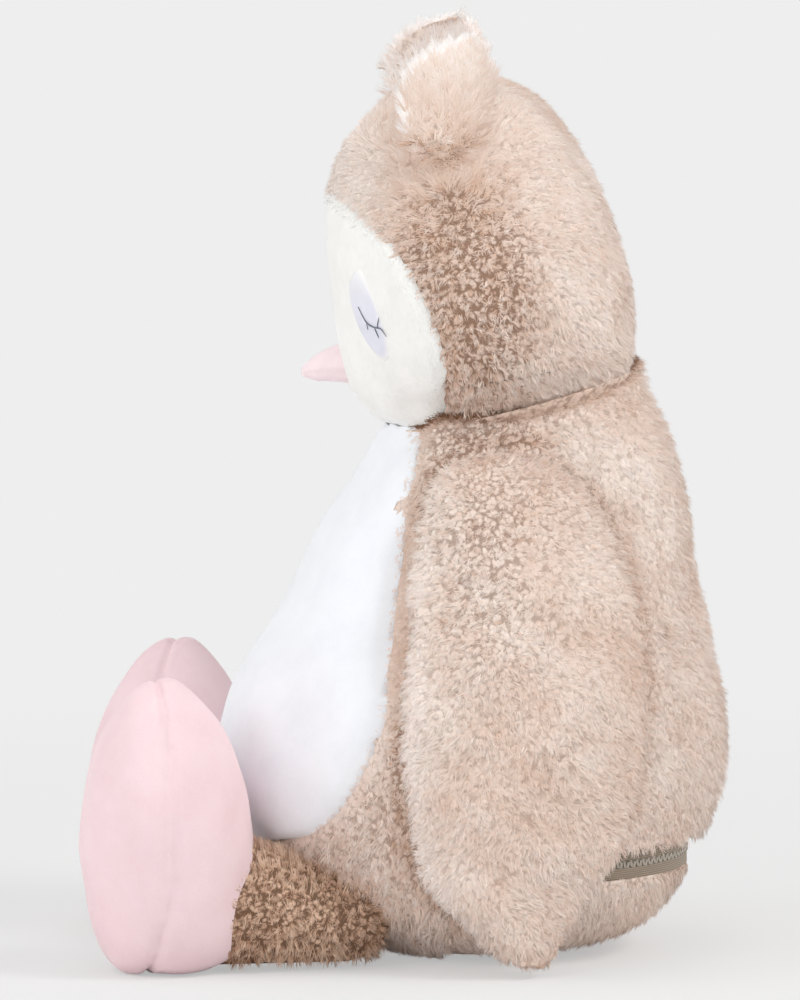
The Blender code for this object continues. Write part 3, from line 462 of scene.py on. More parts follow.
def strands(name, roots, normals, combs, tone, rng, look, body, slot, length=5.6 * MM, width=0.42 * MM,
            per_tuft=9, radius=1.6 * MM, lean=LEAN, gather=0.6, ruffle=0.27, dome=0.9, curl=0.0, shade=0.0,
            floor=0.5 * MM, sink=0.8 * MM):
    """Tufts of thin leaves with one bend each, which start round the tuft's root and meet towards its tip."""
    count = len(roots)
    length = np.broadcast_to(np.asarray(length, float), (count,))
    lean = np.broadcast_to(np.asarray(lean, float), (count, 2))
    curl = np.broadcast_to(np.asarray(curl, float), (count,))
    # The shade field moves whole leaves down the colour ramp towards their crease colour: painted shade
    lit = np.repeat(1 - np.broadcast_to(np.asarray(shade, float), (count,)), per_tuft)
    side = unit(np.cross(normals, combs))
    flow = unit(np.cross(side, normals))
    flow = unit(flow + side * (rng.normal(0, 1, count) * (ruffle + 1.2 * curl))[:, None])
    side = unit(np.cross(normals, flow))
    total = count * per_tuft

    def each(values):
        return np.repeat(values, per_tuft, axis=0)

    n, f, s = each(normals), each(flow), each(side)
    turn = rng.uniform(0, 2 * math.pi, total)
    away = np.sqrt(rng.random(total))
    spread = f * (np.cos(turn) * away)[:, None] + s * (np.sin(turn) * away)[:, None]
    size = each(length * rng.uniform(0.88, 1.12, count)) * rng.uniform(0.72, 1.08, total)
    tilt = each(rng.normal(0, 8, count)) + rng.normal(0, 7, total)
    sway = rng.normal(0, 0.18, total)
    drawn = each(gather + 0.35 * curl)
    grown = each(1 - 0.25 * curl * rng.random(count))
    points = [each(roots) + spread * radius - n * sink]
    for i in range(2):
        angle = np.radians(each(lean[:, i] * (1 - 0.5 * curl)) + tilt)
        step = n * np.cos(angle)[:, None] + f * np.sin(angle)[:, None] + s * sway[:, None]
        points.append(points[-1] + step * (size / 2)[:, None] - spread * (radius * drawn / 2)[:, None])
    for point in points:
        point[:, 2] = np.maximum(point[:, 2], floor)
    twist = rng.uniform(-0.7, 0.7, total)
    across = s * np.cos(twist)[:, None] + n * np.sin(twist)[:, None]
    wide = width * rng.uniform(0.75, 1.25, total)
    tone_each = each(tone + rng.normal(0, 1, count) * (0.05 + 0.20 * curl)) + rng.normal(0, 0.04, total)
    tone_each = np.clip(tone_each, 0.03, 0.97)
    co = np.empty((total, 10, 3))
    no = np.empty((total, 10, 3))
    uv = np.empty((total, 10, 2))
    for i, share in enumerate((1.0, 0.8)):
        half = across * (wide * share / 2)[:, None]
        for j, sign in enumerate((1, -1)):
            co[:, 2 * i + j] = points[i] + half * sign
            no[:, 2 * i + j] = n + spread * dome + across * sign * 0.3
            uv[:, 2 * i + j, 0] = tone_each + 0.012 * sign
            # Curl lowers each leaf's root and middle on the colour ramp: painted shade deep in curly pile, since
            # the leaves cast no shadows
            level = (0.60 - 0.12 * each(curl)) * grown if i else 0.31 - 0.29 * each(curl)
            uv[:, 2 * i + j, 1] = level * lit
    co[:, 4] = points[2]
    no[:, 4] = n + spread * dome + f * 0.2
    uv[:, 4, 0] = tone_each
    uv[:, 4, 1] = (0.03 + 0.94 * grown) * lit
    under = unit(np.cross(across, points[2] - points[0]))
    co[:, 5:] = co[:, :5] + under[:, None] * LEAF_THICK
    no[:, 5:] = no[:, :5] + (f * 1.3 - n * 0.8)[:, None]
    uv[:, 5:] = uv[:, :5]
    top = np.array([(0, 1, 3), (0, 3, 2), (2, 3, 4)])
    tris = np.concatenate([top, top[:, ::-1] + 5])
    parts = max(1, math.ceil(total / MOST_LEAVES))
    for part in range(parts):
        chosen = slice(part * total // parts, (part + 1) * total // parts)
        label = name if parts == 1 else f"{name}_{part + 1}"
        item = blade_mesh(label, co[chosen], no[chosen], uv[chosen], tris)
        item.data.materials.append(look)
        item.visible_diffuse = False
        item.visible_transmission = False
        item.visible_shadow = False
        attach(item, body)


def blade_mesh(name, co, no, uv, tris):
    total, per = co.shape[:2]
    index = (np.arange(total)[:, None, None] * per + tris[None]).reshape(-1)
    faces = len(index) // 3
    mesh = bpy.data.meshes.new(name)
    mesh.vertices.add(total * per)
    mesh.vertices.foreach_set("co", co.ravel().astype(np.float32))
    mesh.loops.add(len(index))
    mesh.loops.foreach_set("vertex_index", index.astype(np.int32))
    mesh.polygons.add(faces)
    mesh.polygons.foreach_set("loop_start", np.arange(0, faces * 3, 3, dtype=np.int32))
    mesh.update(calc_edges=True)
    layer = mesh.uv_layers.new(name="OFBake")
    layer.data.foreach_set("uv", uv.reshape(-1, 2)[index].ravel().astype(np.float32))
    mesh.polygons.foreach_set("use_smooth", np.ones(faces, dtype=bool))
    mesh.normals_split_custom_set_from_vertices(unit(no.reshape(-1, 3)).tolist())
    return add_object(name, mesh)


# Materials
def srgb(red, green, blue):
    """A colour as it looks on a screen, from 0 to 255, as the shader takes it."""
    values = []
    for value in (red, green, blue):
        v = value / 255
        values.append(v / 12.92 if v <= 0.04045 else ((v + 0.055) / 1.055) ** 2.4)
    return (*values, 1.0)


class Nodes:
    """A node tree under construction."""

    def __init__(self, tree):
        self.tree = tree

    def feed(self, socket, value):
        """Links an input to another node's output, or sets it to a value."""
        if isinstance(value, bpy.types.NodeSocket):
            self.tree.links.new(value, socket)
        else:
            socket.default_value = value

    def node(self, kind, inputs=None, **settings):
        """A node with some settings, and with inputs given by name or number."""
        made = self.tree.nodes.new(kind)
        for key, value in settings.items():
            setattr(made, key, value)
        for key, value in (inputs or {}).items():
            self.feed(made.inputs[key], value)
        return made

    def sum(self, operation, *values):
        return self.node("ShaderNodeMath", dict(enumerate(values)), operation=operation).outputs[0]

    def blend(self, factor, first, second):
        inputs = {0: factor, 1: first.outputs[0], 2: second.outputs[0]}
        return self.node("ShaderNodeMixShader", inputs).outputs[0]


class Look(Nodes):
    """A material under construction."""

    def __init__(self, name, rough=0.85, sheen=0.0, specular=0.25, metal=0.0):
        self.material = bpy.data.materials.new(name)
        self.material.use_nodes = True
        super().__init__(self.material.node_tree)
        self.shader = self.tree.nodes["Principled BSDF"]
        self.put("Roughness", rough)
        self.put("Specular IOR Level", specular)
        self.put("Metallic", metal)
        if sheen:
            self.put("Sheen Weight", sheen)
            self.put("Sheen Roughness", 0.45)

    def put(self, name, value):
        self.feed(self.shader.inputs[name], value)

    def place(self):
        return self.node("ShaderNodeTexCoord").outputs["Object"]

    def noise(self, scale, detail=3.0, rough=0.55, stretch=None):
        source = self.place()
        if stretch is not None:
            source = self.node("ShaderNodeMapping", {"Vector": source, "Scale": stretch}).outputs["Vector"]
        inputs = {"Scale": scale, "Detail": detail, "Roughness": rough, "Vector": source}
        return self.node("ShaderNodeTexNoise", inputs).outputs["Fac"]

    def ramp(self, source, stops):
        made = self.node("ShaderNodeValToRGB", {"Fac": source})
        for element, (where, colour) in zip(made.color_ramp.elements, stops):
            element.position = where
            element.color = colour
        return made.outputs["Color"]

    def mask(self, source, dark, light):
        """Black up to one value of the source and white from another."""
        return self.ramp(source, [(dark, (0, 0, 0, 1)), (light, (1, 1, 1, 1))])

    def mix(self, factor, first, second):
        return self.node("ShaderNodeMix", {0: factor, 6: first, 7: second}, data_type="RGBA").outputs[2]

    def field(self, name):
        return self.node("ShaderNodeAttribute", attribute_name=name).outputs["Fac"]

    def colour(self, source):
        self.put("Base Color", source)

    def bump(self, source, strength, distance):
        inputs = {"Strength": strength, "Distance": distance, "Height": source}
        self.put("Normal", self.node("ShaderNodeBump", inputs).outputs["Normal"])


def blade_look(name, crease_shade, root_dark, root_pale, tip_dark, tip_pale):
    """Fibres in tones along the map's first axis, and from crease through root to tip along its second. The
    crease and root colours are partly the fibres' own darker base and partly painted shade deep in the pile,
    because the leaves cast no shadows.
    """
    look = Look(name, rough=1.0, specular=0.0)
    source = look.node("ShaderNodeUVMap", uv_map="OFBake").outputs["UV"]
    tone, level, _ = look.node("ShaderNodeSeparateXYZ", {"Vector": source}).outputs
    root = look.mix(tone, srgb(*root_dark), srgb(*root_pale))
    tip = look.mix(tone, srgb(*tip_dark), srgb(*tip_pale))
    base = look.mask(level, 0.04, 0.30)
    grown = look.mask(level, 0.30, 0.82)
    look.colour(look.mix(base, srgb(*crease_shade), look.mix(grown, root, tip)))
    return look.material


def pile_look(name, crease_shade, low, high):
    """The pile's body: small soft clumps with painted shade in the creases between them, deeper where the curl
    field is high, and more painted shade where the shade field is high.
    """
    look = Look(name, rough=1.0, specular=0.05)
    drift = look.node("ShaderNodeTexNoise", {"Scale": 330, "Detail": 2, "Vector": look.place()})
    sway = 2.6 * MM
    inputs = {0: drift.outputs["Color"], 1: (sway, sway, sway), 2: look.place()}
    moved = look.node("ShaderNodeVectorMath", inputs, operation="MULTIPLY_ADD")
    cells = look.node("ShaderNodeTexVoronoi", {"Scale": 400, "Vector": moved.outputs[0]}, feature="F1")
    fine = look.sum("MULTIPLY", look.noise(1100, detail=2), 0.35)
    depth = look.sum("ADD", look.sum("MULTIPLY", cells.outputs["Distance"], 0.8), fine)
    curl = look.field("curl")
    deep = look.mask(look.sum("MULTIPLY_ADD", curl, 0.20, depth), 0.56, 0.82)
    strength = look.sum("MULTIPLY_ADD", curl, 0.50, 0.34)
    top = look.mix(look.field("tone"), srgb(*low), srgb(*high))
    dark = look.sum("MAXIMUM", look.sum("MULTIPLY", deep, strength), look.field("shade"))
    look.colour(look.mix(dark, top, srgb(*crease_shade)))
    look.bump(look.sum("SUBTRACT", 1.0, depth), 0.7, 1.0 * MM)
    return look.material


def nap_look(name, colour, shade, glow, scale=1300, sheen=0.5, bump=0.25, stretch=None):
    """A short brushed nap with faint drifts of tone."""
    look = Look(name, rough=0.9, sheen=sheen, specular=0.12)
    look.put("Sheen Tint", srgb(*glow))
    drift = look.noise(45, detail=4, rough=0.6)
    grain = look.noise(scale, detail=3, stretch=stretch)
    tint = look.ramp(drift, [(0.30, srgb(*shade)), (0.62, srgb(*colour))])
    fine = look.ramp(grain, [(0.30, srgb(*shade)), (0.60, srgb(*colour))])
    look.colour(look.mix(0.35, tint, fine))
    look.bump(grain, bump, 0.35 * MM)
    return look.material


# Each blade and pile look's first colour is painted shade deep in the pile, and the blades' root colours are
# darker partly for the same painted shade.
fur_blades = blade_look("fur_blades", (124, 90, 68), (208, 170, 146), (243, 222, 208), (227, 197, 179),
                        (249, 238, 231))
dark_blades = blade_look("leg_fur_blades", (84, 56, 38), (128, 90, 65), (198, 160, 133), (192, 150, 122),
                         (248, 220, 198))
pale_blades = blade_look("ear_lining_blades", (238, 220, 212), (243, 226, 218), (252, 241, 236),
                         (252, 240, 234), (255, 252, 250))
white_blades = blade_look("white_pile_blades", (240, 239, 235), (246, 245, 241), (250, 249, 246),
                          (253, 252, 249), (255, 255, 254))
fur_backing = pile_look("fur_pile", (130, 96, 74), (212, 177, 155), (249, 236, 227))
dark_backing = pile_look("leg_fur_pile", (90, 60, 42), (156, 116, 91), (230, 197, 172))
WHITE, PINK_GLOW = (255, 255, 255), (255, 240, 242)
tummy_nap = nap_look("tummy_nap", (246, 248, 252), (236, 239, 244), WHITE, scale=1500, bump=0.15)
face_nap = nap_look("face_nap", (247, 246, 243), (235, 235, 231), WHITE, scale=700, sheen=0.3, bump=0.3,
                    stretch=(1, 1, 0.35))
pink_nap = nap_look("pink_nap", (243, 219, 222), (237, 207, 212), PINK_GLOW, scale=1400, sheen=0.3, bump=0.2)
beak_nap = nap_look("beak_nap", (251, 235, 237), (244, 222, 227), PINK_GLOW, scale=1400, sheen=0.2, bump=0.2)
bag_cloth = nap_look("bag_cloth", (226, 222, 215), (206, 201, 194), WHITE, scale=1100, sheen=0.1, bump=0.3)


# Where each cloth lies
def tummy_edge_y(z):
    table = through_rows(TUMMY_EDGE, 80)[::-1]
    return np.interp(z, table[:, 0], table[:, 1], left=-1.0)


def face_edge_y(z):
    table = through_rows(FACE_EDGE, 80)
    return np.interp(z, table[:, 0], table[:, 1], right=-1.0)


def in_tummy(p, margin=0.0):
    return p[:, 1] < tummy_edge_y(p[:, 2]) - margin


def in_face(p, margin=0.0):
    return p[:, 1] < face_edge_y(p[:, 2]) - margin


def in_flap(p, margin=0.0):
    """Under the zip and behind the flap's front fold."""
    seam_y = FLAP_Y + (FLAP_RISE_Y - FLAP_Y) * np.clip(p[:, 2] / ZIP_Z, 0, 1)
    return (p[:, 1] > seam_y + margin) & (p[:, 2] < ZIP_Z - margin)


def behind_zip(p):
    return np.abs(np.degrees(np.arctan2(p[:, 0], p[:, 1] - TORSO_Y))) < 63.5


def in_zip_band(p, margin=0.0):
    return (np.abs(p[:, 2] - ZIP_Z) < ZIP_BAND + margin) & behind_zip(p)


def from_neck(p):
    return np.linalg.norm(p - NECK, axis=1)


def from_hips(p):
    left = np.linalg.norm(p - HIP, axis=1)
    right = np.linalg.norm(p - HIP * np.array((-1, 1, 1)), axis=1)
    return np.minimum(left, right)


def fur_cloth(grid, edge):
    """The form inside the pile, with a dip along a white panel's edge."""
    gap = edge(grid.p[..., 2]) - grid.p[..., 1]
    return grid.pushed(-PILE_IN - 2.6 * MM * np.exp(-((gap / (4 * MM)) ** 2)))


def tucked(grid, edge, depth, reach):
    """A white panel whose rim runs in under the fur."""
    gap = edge(grid.p[..., 2]) - grid.p[..., 1]
    return grid.pushed(-depth * (1 - smooth_step(gap, -3 * MM, reach)))


# Torso
PILE_IN = 2.3 * MM
NECK_HOLE = NECK_R - 2 * MM
lumps = Waves(0.055, 11)
torso = Grid(oval_grid(TORSO_ROWS, 190, 180, TORSO_Y))
torso = torso.pushed(1.3 * MM * lumps(torso.p) * smooth_step(torso.p[..., 2], 0.004, 0.03))
torso_skin = fur_cloth(torso, tummy_edge_y)


def torso_fur_area(p):
    clear = ~in_tummy(p) & ~in_flap(p) & ~in_zip_band(p, 0.5 * MM)
    return clear & (from_neck(p) > NECK_R - 3 * MM) & (from_hips(p) > HIP_R - 1 * MM)


def torso_skin_area(p):
    clear = ~in_tummy(p, 1.5 * MM) & ~in_flap(p) & ~in_zip_band(p)
    return clear & (from_neck(p) > NECK_HOLE) & (from_hips(p) > HIP_R - 4 * MM)


def torso_comb(p):
    """The pile lies down and away from the front."""
    flow = np.zeros_like(p)
    flow[:, 2] = -1.0
    flow[:, 1] = 0.25 + 1.6 * by_tummy(p)
    flow[:, 0] = 0.15 * np.sign(p[:, 0])
    near = near_neck(p)[:, None]
    return flow * (1 - near) + unit(p - NECK) * near


def near_neck(p):
    return 1 - smooth_step(from_neck(p) - NECK_R, 2 * MM, 14 * MM)


def by_tummy(p):
    return 1 - smooth_step(p[:, 1] - tummy_edge_y(p[:, 2]), 2 * MM, 11 * MM)


def by_wing(p):
    """1 along the wings' front edges, a little less along their rear ones, and over their tops, where the pile
    is in shade; its callers paint that shade into the pile.
    """
    front, back = read_rows(WING_ROWS, p[:, 2], 1, 2)
    front, back = (front - p[:, 1]) / MM, (p[:, 1] - back) / MM
    inside = smooth_step(p[:, 2], 0.0, 0.02) * (1 - smooth_step(p[:, 2], 0.209, 0.215))
    over = np.exp(-(((p[:, 2] - 0.2165) / 0.0032) ** 2) - ((p[:, 1] - 0.039) / 0.020) ** 4)
    return inside * (np.exp(-(((front - 1) / 4.5) ** 2)) + 0.7 * np.exp(-(((back - 1) / 3.5) ** 2))) + over


def lean_to(lean, share):
    """The pile's two leans, from the usual ones to others where a share is 1."""
    share = share[:, None]
    return np.array(LEAN) * (1 - share) + np.array(lean) * share


def torso_lean(p):
    """More upright by the neck."""
    return lean_to((15, 50), near_neck(p))


def torso_curl(p):
    """Some curl low at the front and by the neck."""
    low = (1 - smooth_step(p[:, 1], 0.0, 0.05)) * (1 - smooth_step(p[:, 2], 0.10, 0.20))
    top = smooth_step(p[:, 2], 0.165, 0.20) * (1 - smooth_step(p[:, 1], 0.04, 0.085))
    return np.clip((0.20 + 0.35 * low + 0.55 * top + 0.4 * by_wing(p)) * (1 - 0.95 * by_tummy(p)), 0, 1)


tone_waves = Waves(0.05, 21)
fine_tone = Waves(0.012, 22)


def tone_drift(p):
    return 0.10 * tone_waves(p) + 0.07 * fine_tone(p)


def shaded_dents(p, places):
    """Painted shade in dents and seams of the pile, each given by y, z, its two radii and a depth."""
    y, z = p[:, 1], p[:, 2]
    return sum(depth * np.exp(-(((y - a) / wide) ** 2) - ((z - b) / high) ** 2)
               for a, b, wide, high, depth in places)


# Places of painted shade in the torso's pile: y, z, two radii and a depth
TORSO_SHADED_DENTS = [
    (0.1055, 0.2000, 0.0012, 0.0220, 0.25),
    (0.1068, 0.1375, 0.0020, 0.0048, 0.75),
    (0.1100, 0.1240, 0.0013, 0.0060, 0.30),
    (0.0960, 0.1650, 0.0014, 0.0060, 0.30),
    (0.1130, 0.0950, 0.0014, 0.0050, 0.30),
    (0.0340, 0.2250, 0.0090, 0.0012, 0.50),
    (0.0250, 0.2200, 0.0012, 0.0070, 0.50),
    (0.0640, 0.2180, 0.0060, 0.0014, 0.45),
    (0.0780, 0.2080, 0.0020, 0.0050, 0.35),
]
# Places of painted shade in the wing's pile: y, z, two radii and a depth
WING_SHADED_DENTS = [
    (0.0600, 0.0946, 0.0050, 0.0016, 0.60),
    (0.0560, 0.0910, 0.0014, 0.0035, 0.50),
    (0.0680, 0.1000, 0.0060, 0.0012, 0.30),
    (0.0180, 0.1200, 0.0040, 0.0018, 0.50),
    (0.0250, 0.1160, 0.0014, 0.0035, 0.40),
    (0.0120, 0.1750, 0.0014, 0.0060, 0.35),
    (0.0190, 0.1640, 0.0030, 0.0012, 0.35),
    (0.0260, 0.1860, 0.0040, 0.0012, 0.35),
    (0.0420, 0.1800, 0.0030, 0.0010, 0.30),
    (0.0140, 0.1480, 0.0012, 0.0050, 0.30),
    (0.0280, 0.1500, 0.0028, 0.0012, 0.30),
    (0.0750, 0.1420, 0.0040, 0.0009, 0.30),
]


def torso_tone(p):
    low = 1 - smooth_step(p[:, 2], 0.02, 0.085)
    front = 1 - smooth_step(p[:, 1], 0.0, 0.06)
    top = smooth_step(p[:, 2], 0.17, 0.21)
    # Painted shade in the neck crease and along the wings' edges; the pile is also darker low down and at the
    # front, and paler on top
    crease_shade = 1 - smooth_step(from_neck(p) - NECK_R, 0.0, 5 * MM)
    shaded = 0.4 * crease_shade + 0.22 * by_wing(p)
    return 0.68 - 0.08 * low - 0.08 * front + 0.04 * top - shaded + tone_drift(p)


def torso_shade(p):
    # Painted shade in the neck crease, along the wings' edges and in the dents on the left side
    crease_shade = 1 - smooth_step(from_neck(p) - NECK_R, -1 * MM, 4.5 * MM)
    return np.clip(0.9 * crease_shade + 0.30 * by_wing(p) + (p[:, 0] > 0) * shaded_dents(p, TORSO_SHADED_DENTS), 0, 0.9)


def plain_tone(base):
    return lambda p: base + tone_drift(p)


def fur(name, grid, body, slot, look, comb, tone, seed, keep=None, spacing=2.4 * MM, soft=0, facing=None,
        **settings):
    """Combed tufts over a grid, with settings that are values or functions of the tufts' places."""
    rng = np.random.default_rng(seed)
    place, normal = scatter(grid, spacing, rng, keep, soft, facing)
    settings = {key: value(place) if callable(value) else value for key, value in settings.items()}
    swirl = Waves(0.03, seed + 500)
    flow = comb(place)
    flow = flow + np.cross(normal, flow) * (0.45 * swirl(place))[:, None]
    strands(name, place, normal, flow, tone(place), rng, look, body, slot, **settings)


def marked(item, tone, curl=0.0, shade=0.0):
    """Writes the tone, curl and shade of the pile at each vertex of a cloth."""
    spots = np.empty(len(item.data.vertices) * 3)
    item.data.vertices.foreach_get("co", spots)
    spots = spots.reshape(-1, 3)
    for name, value in (("tone", tone), ("curl", curl), ("shade", shade)):
        field = item.data.attributes.new(name, "FLOAT", "POINT")
        values = value(spots) if callable(value) else np.full(len(spots), value)
        field.data.foreach_set("value", np.clip(values, 0, 1).astype(np.float32))
    return item


def dressed(item, look, body, slot, *nodes, fill=None):
    item.data.materials.clear()
    item.data.materials.append(look)
    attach(item, body)
    if nodes:
        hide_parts(*nodes)
    return item


item = grid_object("torso_cloth", torso_skin, torso_skin_area, thick=CLOTH)
dressed(marked(item, torso_tone, torso_curl, torso_shade), fur_backing, "torso", "fur", "torso_shell", fill=0.8)
fur("torso_fur", torso_skin, "torso", "fur", fur_blades, torso_comb, torso_tone, 31, torso_fur_area,
    lean=torso_lean, curl=torso_curl, shade=torso_shade, length=lambda p: (5.6 - 2.0 * by_tummy(p)) * MM, soft=3)

# White tummy
tummy = torso.pushed(-1.2 * MM)
tummy = tummy.pushed(0.5 * MM * Waves(0.035, 41)(tummy.p))
tummy = tucked(tummy, tummy_edge_y, 4 * MM, 7 * MM)


def tummy_area(p):
    return in_tummy(p, -3.5 * MM) & (from_neck(p) > NECK_HOLE)


item = grid_object("tummy_cloth", tummy, tummy_area, thick=CLOTH)
dressed(item, tummy_nap, "torso", "white_knit", "tummy_panel", fill=0.85)

# Base flap
def base_area(p):
    return in_flap(p, 0.4 * MM) & ~in_zip_band(p)


item = grid_object("base_cloth", torso_skin, base_area, thick=CLOTH)
dressed(marked(item, plain_tone(0.5), 0.3), fur_backing, "base_flap", "fur", "base_panel", fill=0.3)


def base_fur_area(p):
    return in_flap(p, 0.8 * MM) & ~in_zip_band(p, 0.5 * MM) & (p[:, 2] > 6.5 * MM)


fur("base_fur", torso_skin, "base_flap", "fur", fur_blades, torso_comb, plain_tone(0.50), 32, base_fur_area)

# Stuffing bags
BAG_NECK_R = 0.0875
wrinkle = Waves(0.022, 51)
bag = Grid(oval_grid(TORSO_ROWS, 70, 90, TORSO_Y)).pushed(-9.6 * MM)
bag = bag.pushed(1.0 * MM * wrinkle(bag.p))
arm = bag.p - NECK
reach = np.linalg.norm(arm, axis=2, keepdims=True)
bag.p = np.where(reach < BAG_NECK_R, NECK + arm / reach * BAG_NECK_R, bag.p)
x, y, z = np.moveaxis(bag.p, 2, 0)
by_zip = (np.abs(z - ZIP_Z) < 0.011) & (np.hypot(x, y - TORSO_Y) > 0.0815) & (y > TORSO_Y)
bag.p[..., 1] = np.where(by_zip, TORSO_Y + (y - TORSO_Y) * 0.95, y)
bag.refresh()
dressed(grid_object("body_stuffing_bag", bag), bag_cloth, "torso", "bag", "body_pod", fill=0.7)

# Head
def neck_angle(p):
    """Degrees between a place and the neck's axis, seen from the ball's middle."""
    return np.degrees(np.arccos(np.clip(unit(p - NECK) @ NECK_AXIS, -1, 1)))


def head_points(levels, around):
    points = oval_grid(HEAD_ROWS, levels, around, HEAD_Y, 2.2, NECK[2])
    arm = points - NECK
    size = np.linalg.norm(arm, axis=2, keepdims=True)
    on_ball = (neck_angle(points)[..., None] < HEAD_ON_BALL_TO) & (size > NECK_R)
    return np.where(on_ball, NECK + arm / size * NECK_R, points)


head = Grid(head_points(190, 180))
head = head.pushed(1.0 * MM * Waves(0.05, 61)(head.p))
head_skin = fur_cloth(head, face_edge_y)
head_bag = Grid(head_points(60, 80)).pushed(-9.4 * MM)
head_bag = head_bag.pushed(0.8 * MM * wrinkle(head_bag.p))
dressed(grid_object("head_stuffing_bag", head_bag), bag_cloth, "head", "bag", "head_pod", fill=0.7)

PINCH = np.array((0.071, 0.0165, 0.3215))


def head_comb(p):
    """The pile fans out from the pinch under each ear and lies down at the back."""
    fan = p - PINCH * side_signs(p)
    near = np.exp(-np.linalg.norm(fan, axis=1) / 0.04)[:, None]
    flow = np.zeros_like(p)
    flow[:, 2] = -0.9
    flow[:, 1] = 0.55
    top = smooth_step(p[:, 2], 0.325, 0.355)[:, None]
    flow = flow * (1 - top) + side_signs(p) * (0.2, 0.9, 0.1) * top
    return unit(fan) * near * 1.6 + flow * (1 - near)


def cheek(p):
    """1 where the pile of the cheek is short and curly."""
    reach = ((p[:, 1] - 0.022) / 0.036) ** 2 + ((p[:, 2] - 0.272) / 0.055) ** 2
    return np.exp(-(reach**2)) * (1 - 0.8 * smooth_step(p[:, 1], 0.045, 0.080))


def head_curl(p):
    return np.clip(0.14 + 1.0 * cheek(p) + 0.25 * near_pinch(p), 0, 1)


def head_tone(p):
    back = smooth_step(p[:, 1], 0.045, 0.085)
    top = smooth_step(p[:, 2], 0.325, 0.350)
    front = 1 - smooth_step(p[:, 1], -0.025, 0.0)
    # Painted shade on the cheeks, at the pinch under each ear and in the neck crease; paler at the front and a
    # little at the back and top
    crease_shade = 1 - smooth_step(neck_angle(p), 33.5, 39)
    shaded = 0.24 * cheek(p) + 0.10 * near_pinch(p) + 0.6 * crease_shade
    return 0.60 + 0.03 * back + 0.02 * top + 0.34 * front - shaded + tone_drift(p)


def head_shade(p):
    # Painted shade in the neck crease and at the pinch under each ear
    return 0.9 * (1 - smooth_step(neck_angle(p), 33.5, 38.5)) + 0.30 * near_pinch(p) ** 3


def head_lean(p):
    return lean_to((40, 62), near_pinch(p))


def near_pinch(p):
    return np.exp(-((np.linalg.norm(p * side_signs(p) - PINCH, axis=1) / 0.022) ** 2))


def head_length(p):
    return (5.6 - 0.8 * cheek(p) + 8.0 * near_pinch(p)) * MM


def head_fur_area(p):
    return ~in_face(p) & (neck_angle(p) > 34)


def head_skin_area(p):
    return ~in_face(p, 1.5 * MM) & (neck_angle(p) > 27)


item = grid_object("head_cloth", head_skin, head_skin_area, thick=CLOTH)
dressed(marked(item, head_tone, head_curl, head_shade), fur_backing, "head", "fur", "head_shell", fill=0.85)
fur("head_fur", head_skin, "head", "fur", fur_blades, head_comb, head_tone, 33, head_fur_area, lean=head_lean,
    curl=head_curl, shade=head_shade, length=head_length, soft=5)

# White face
face = head.pushed(-1.5 * MM)
for _ in range(14):
    mean = (np.roll(face.p, 1, 1) + np.roll(face.p, -1, 1))[1:-1] / 4 + (face.p[:-2] + face.p[2:]) / 4
    share = 1 - smooth_step(face.p[1:-1, :, 2:], 0.246, 0.256)
    face.p[1:-1] += (mean - face.p[1:-1]) * share
face.refresh()
face = face.pushed(0.35 * MM * Waves(0.012, 62)(face.p * (1, 1, 0.5)))
face = tucked(face, face_edge_y, 5 * MM, 5 * MM)


def face_area(p):
    return in_face(p, -3 * MM)


item = grid_object("face_cloth", face, face_area, thick=CLOTH)
dressed(item, face_nap, "head", "white_pile", "face_panel", fill=0.85)

EYE_OUT = np.array((math.cos(EYE_TURN), -math.sin(EYE_TURN), 0.0))
EYE_ACROSS = np.array((math.sin(EYE_TURN), math.cos(EYE_TURN), 0.0))
UP = np.array((0.0, 0.0, 1.0))


def face_pile_area(p):
    """A band along the edge of the face."""
    return in_face(p, 0.4 * MM) & ~in_face(p, 6 * MM)


def face_comb(p):
    flow = np.zeros_like(p)
    flow[:, 0] = np.sign(p[:, 0]) * 0.8
    flow[:, 2] = -0.6
    return flow


fur("face_pile", face, "head", "white_pile", white_blades, face_comb, plain_tone(0.6), 34, face_pile_area,
    spacing=2.0 * MM, length=4.0 * MM, width=0.45 * MM, per_tuft=5, radius=1.2 * MM, gather=0.3,
    lean=(45, 70), dome=0.3, ruffle=0.2, soft=4)

# Eyes
satin = Look("satin", rough=0.38, sheen=0.2, specular=0.5)
weave = satin.noise(2600, detail=1, stretch=(1, 1, 0.12))
tint = satin.ramp(satin.noise(120, detail=2), [(0.3, srgb(219, 219, 231)), (0.7, srgb(228, 228, 239))])
satin.colour(satin.mix(satin.field("tone"), srgb(247, 246, 243), tint))
satin.bump(weave, 0.12, 0.2 * MM)
thread = Look("grey_thread", rough=0.55, specular=0.4)
twist = thread.noise(2500, detail=1, stretch=(1, 1, 0.3))
thread.colour(thread.ramp(twist, [(0.3, srgb(86, 90, 102)), (0.7, srgb(128, 132, 146))]))
thread.bump(twist, 0.4, 0.2 * MM)

probe = grid_object("probe", head)
face_tree = BVHTree.FromObject(probe, bpy.context.evaluated_depsgraph_get())
bpy.data.objects.remove(probe, do_unlink=True)


def on_face(across, up, lift):
    """Places over the left eye, given across and up from its middle, at a height over the head's form."""
    found = []
    for a, b, h in np.broadcast(across, up, lift):
        start = EYE + EYE_ACROSS * a + UP * b + EYE_OUT * 0.03
        spot, normal, _, _ = face_tree.ray_cast(Vector(start), Vector(-EYE_OUT))
        found.append(np.array(spot) + np.array(normal) * h)
    return np.array(found)


def strip_reach(a, b):
    """How far a place, in mm over the left eye, is from the middle of the open strip, whose rim is near 1."""
    return np.hypot((a + 2.4 + 0.36 * (b - 0.5)) / 10.0, (b - 0.5) / 20.0)


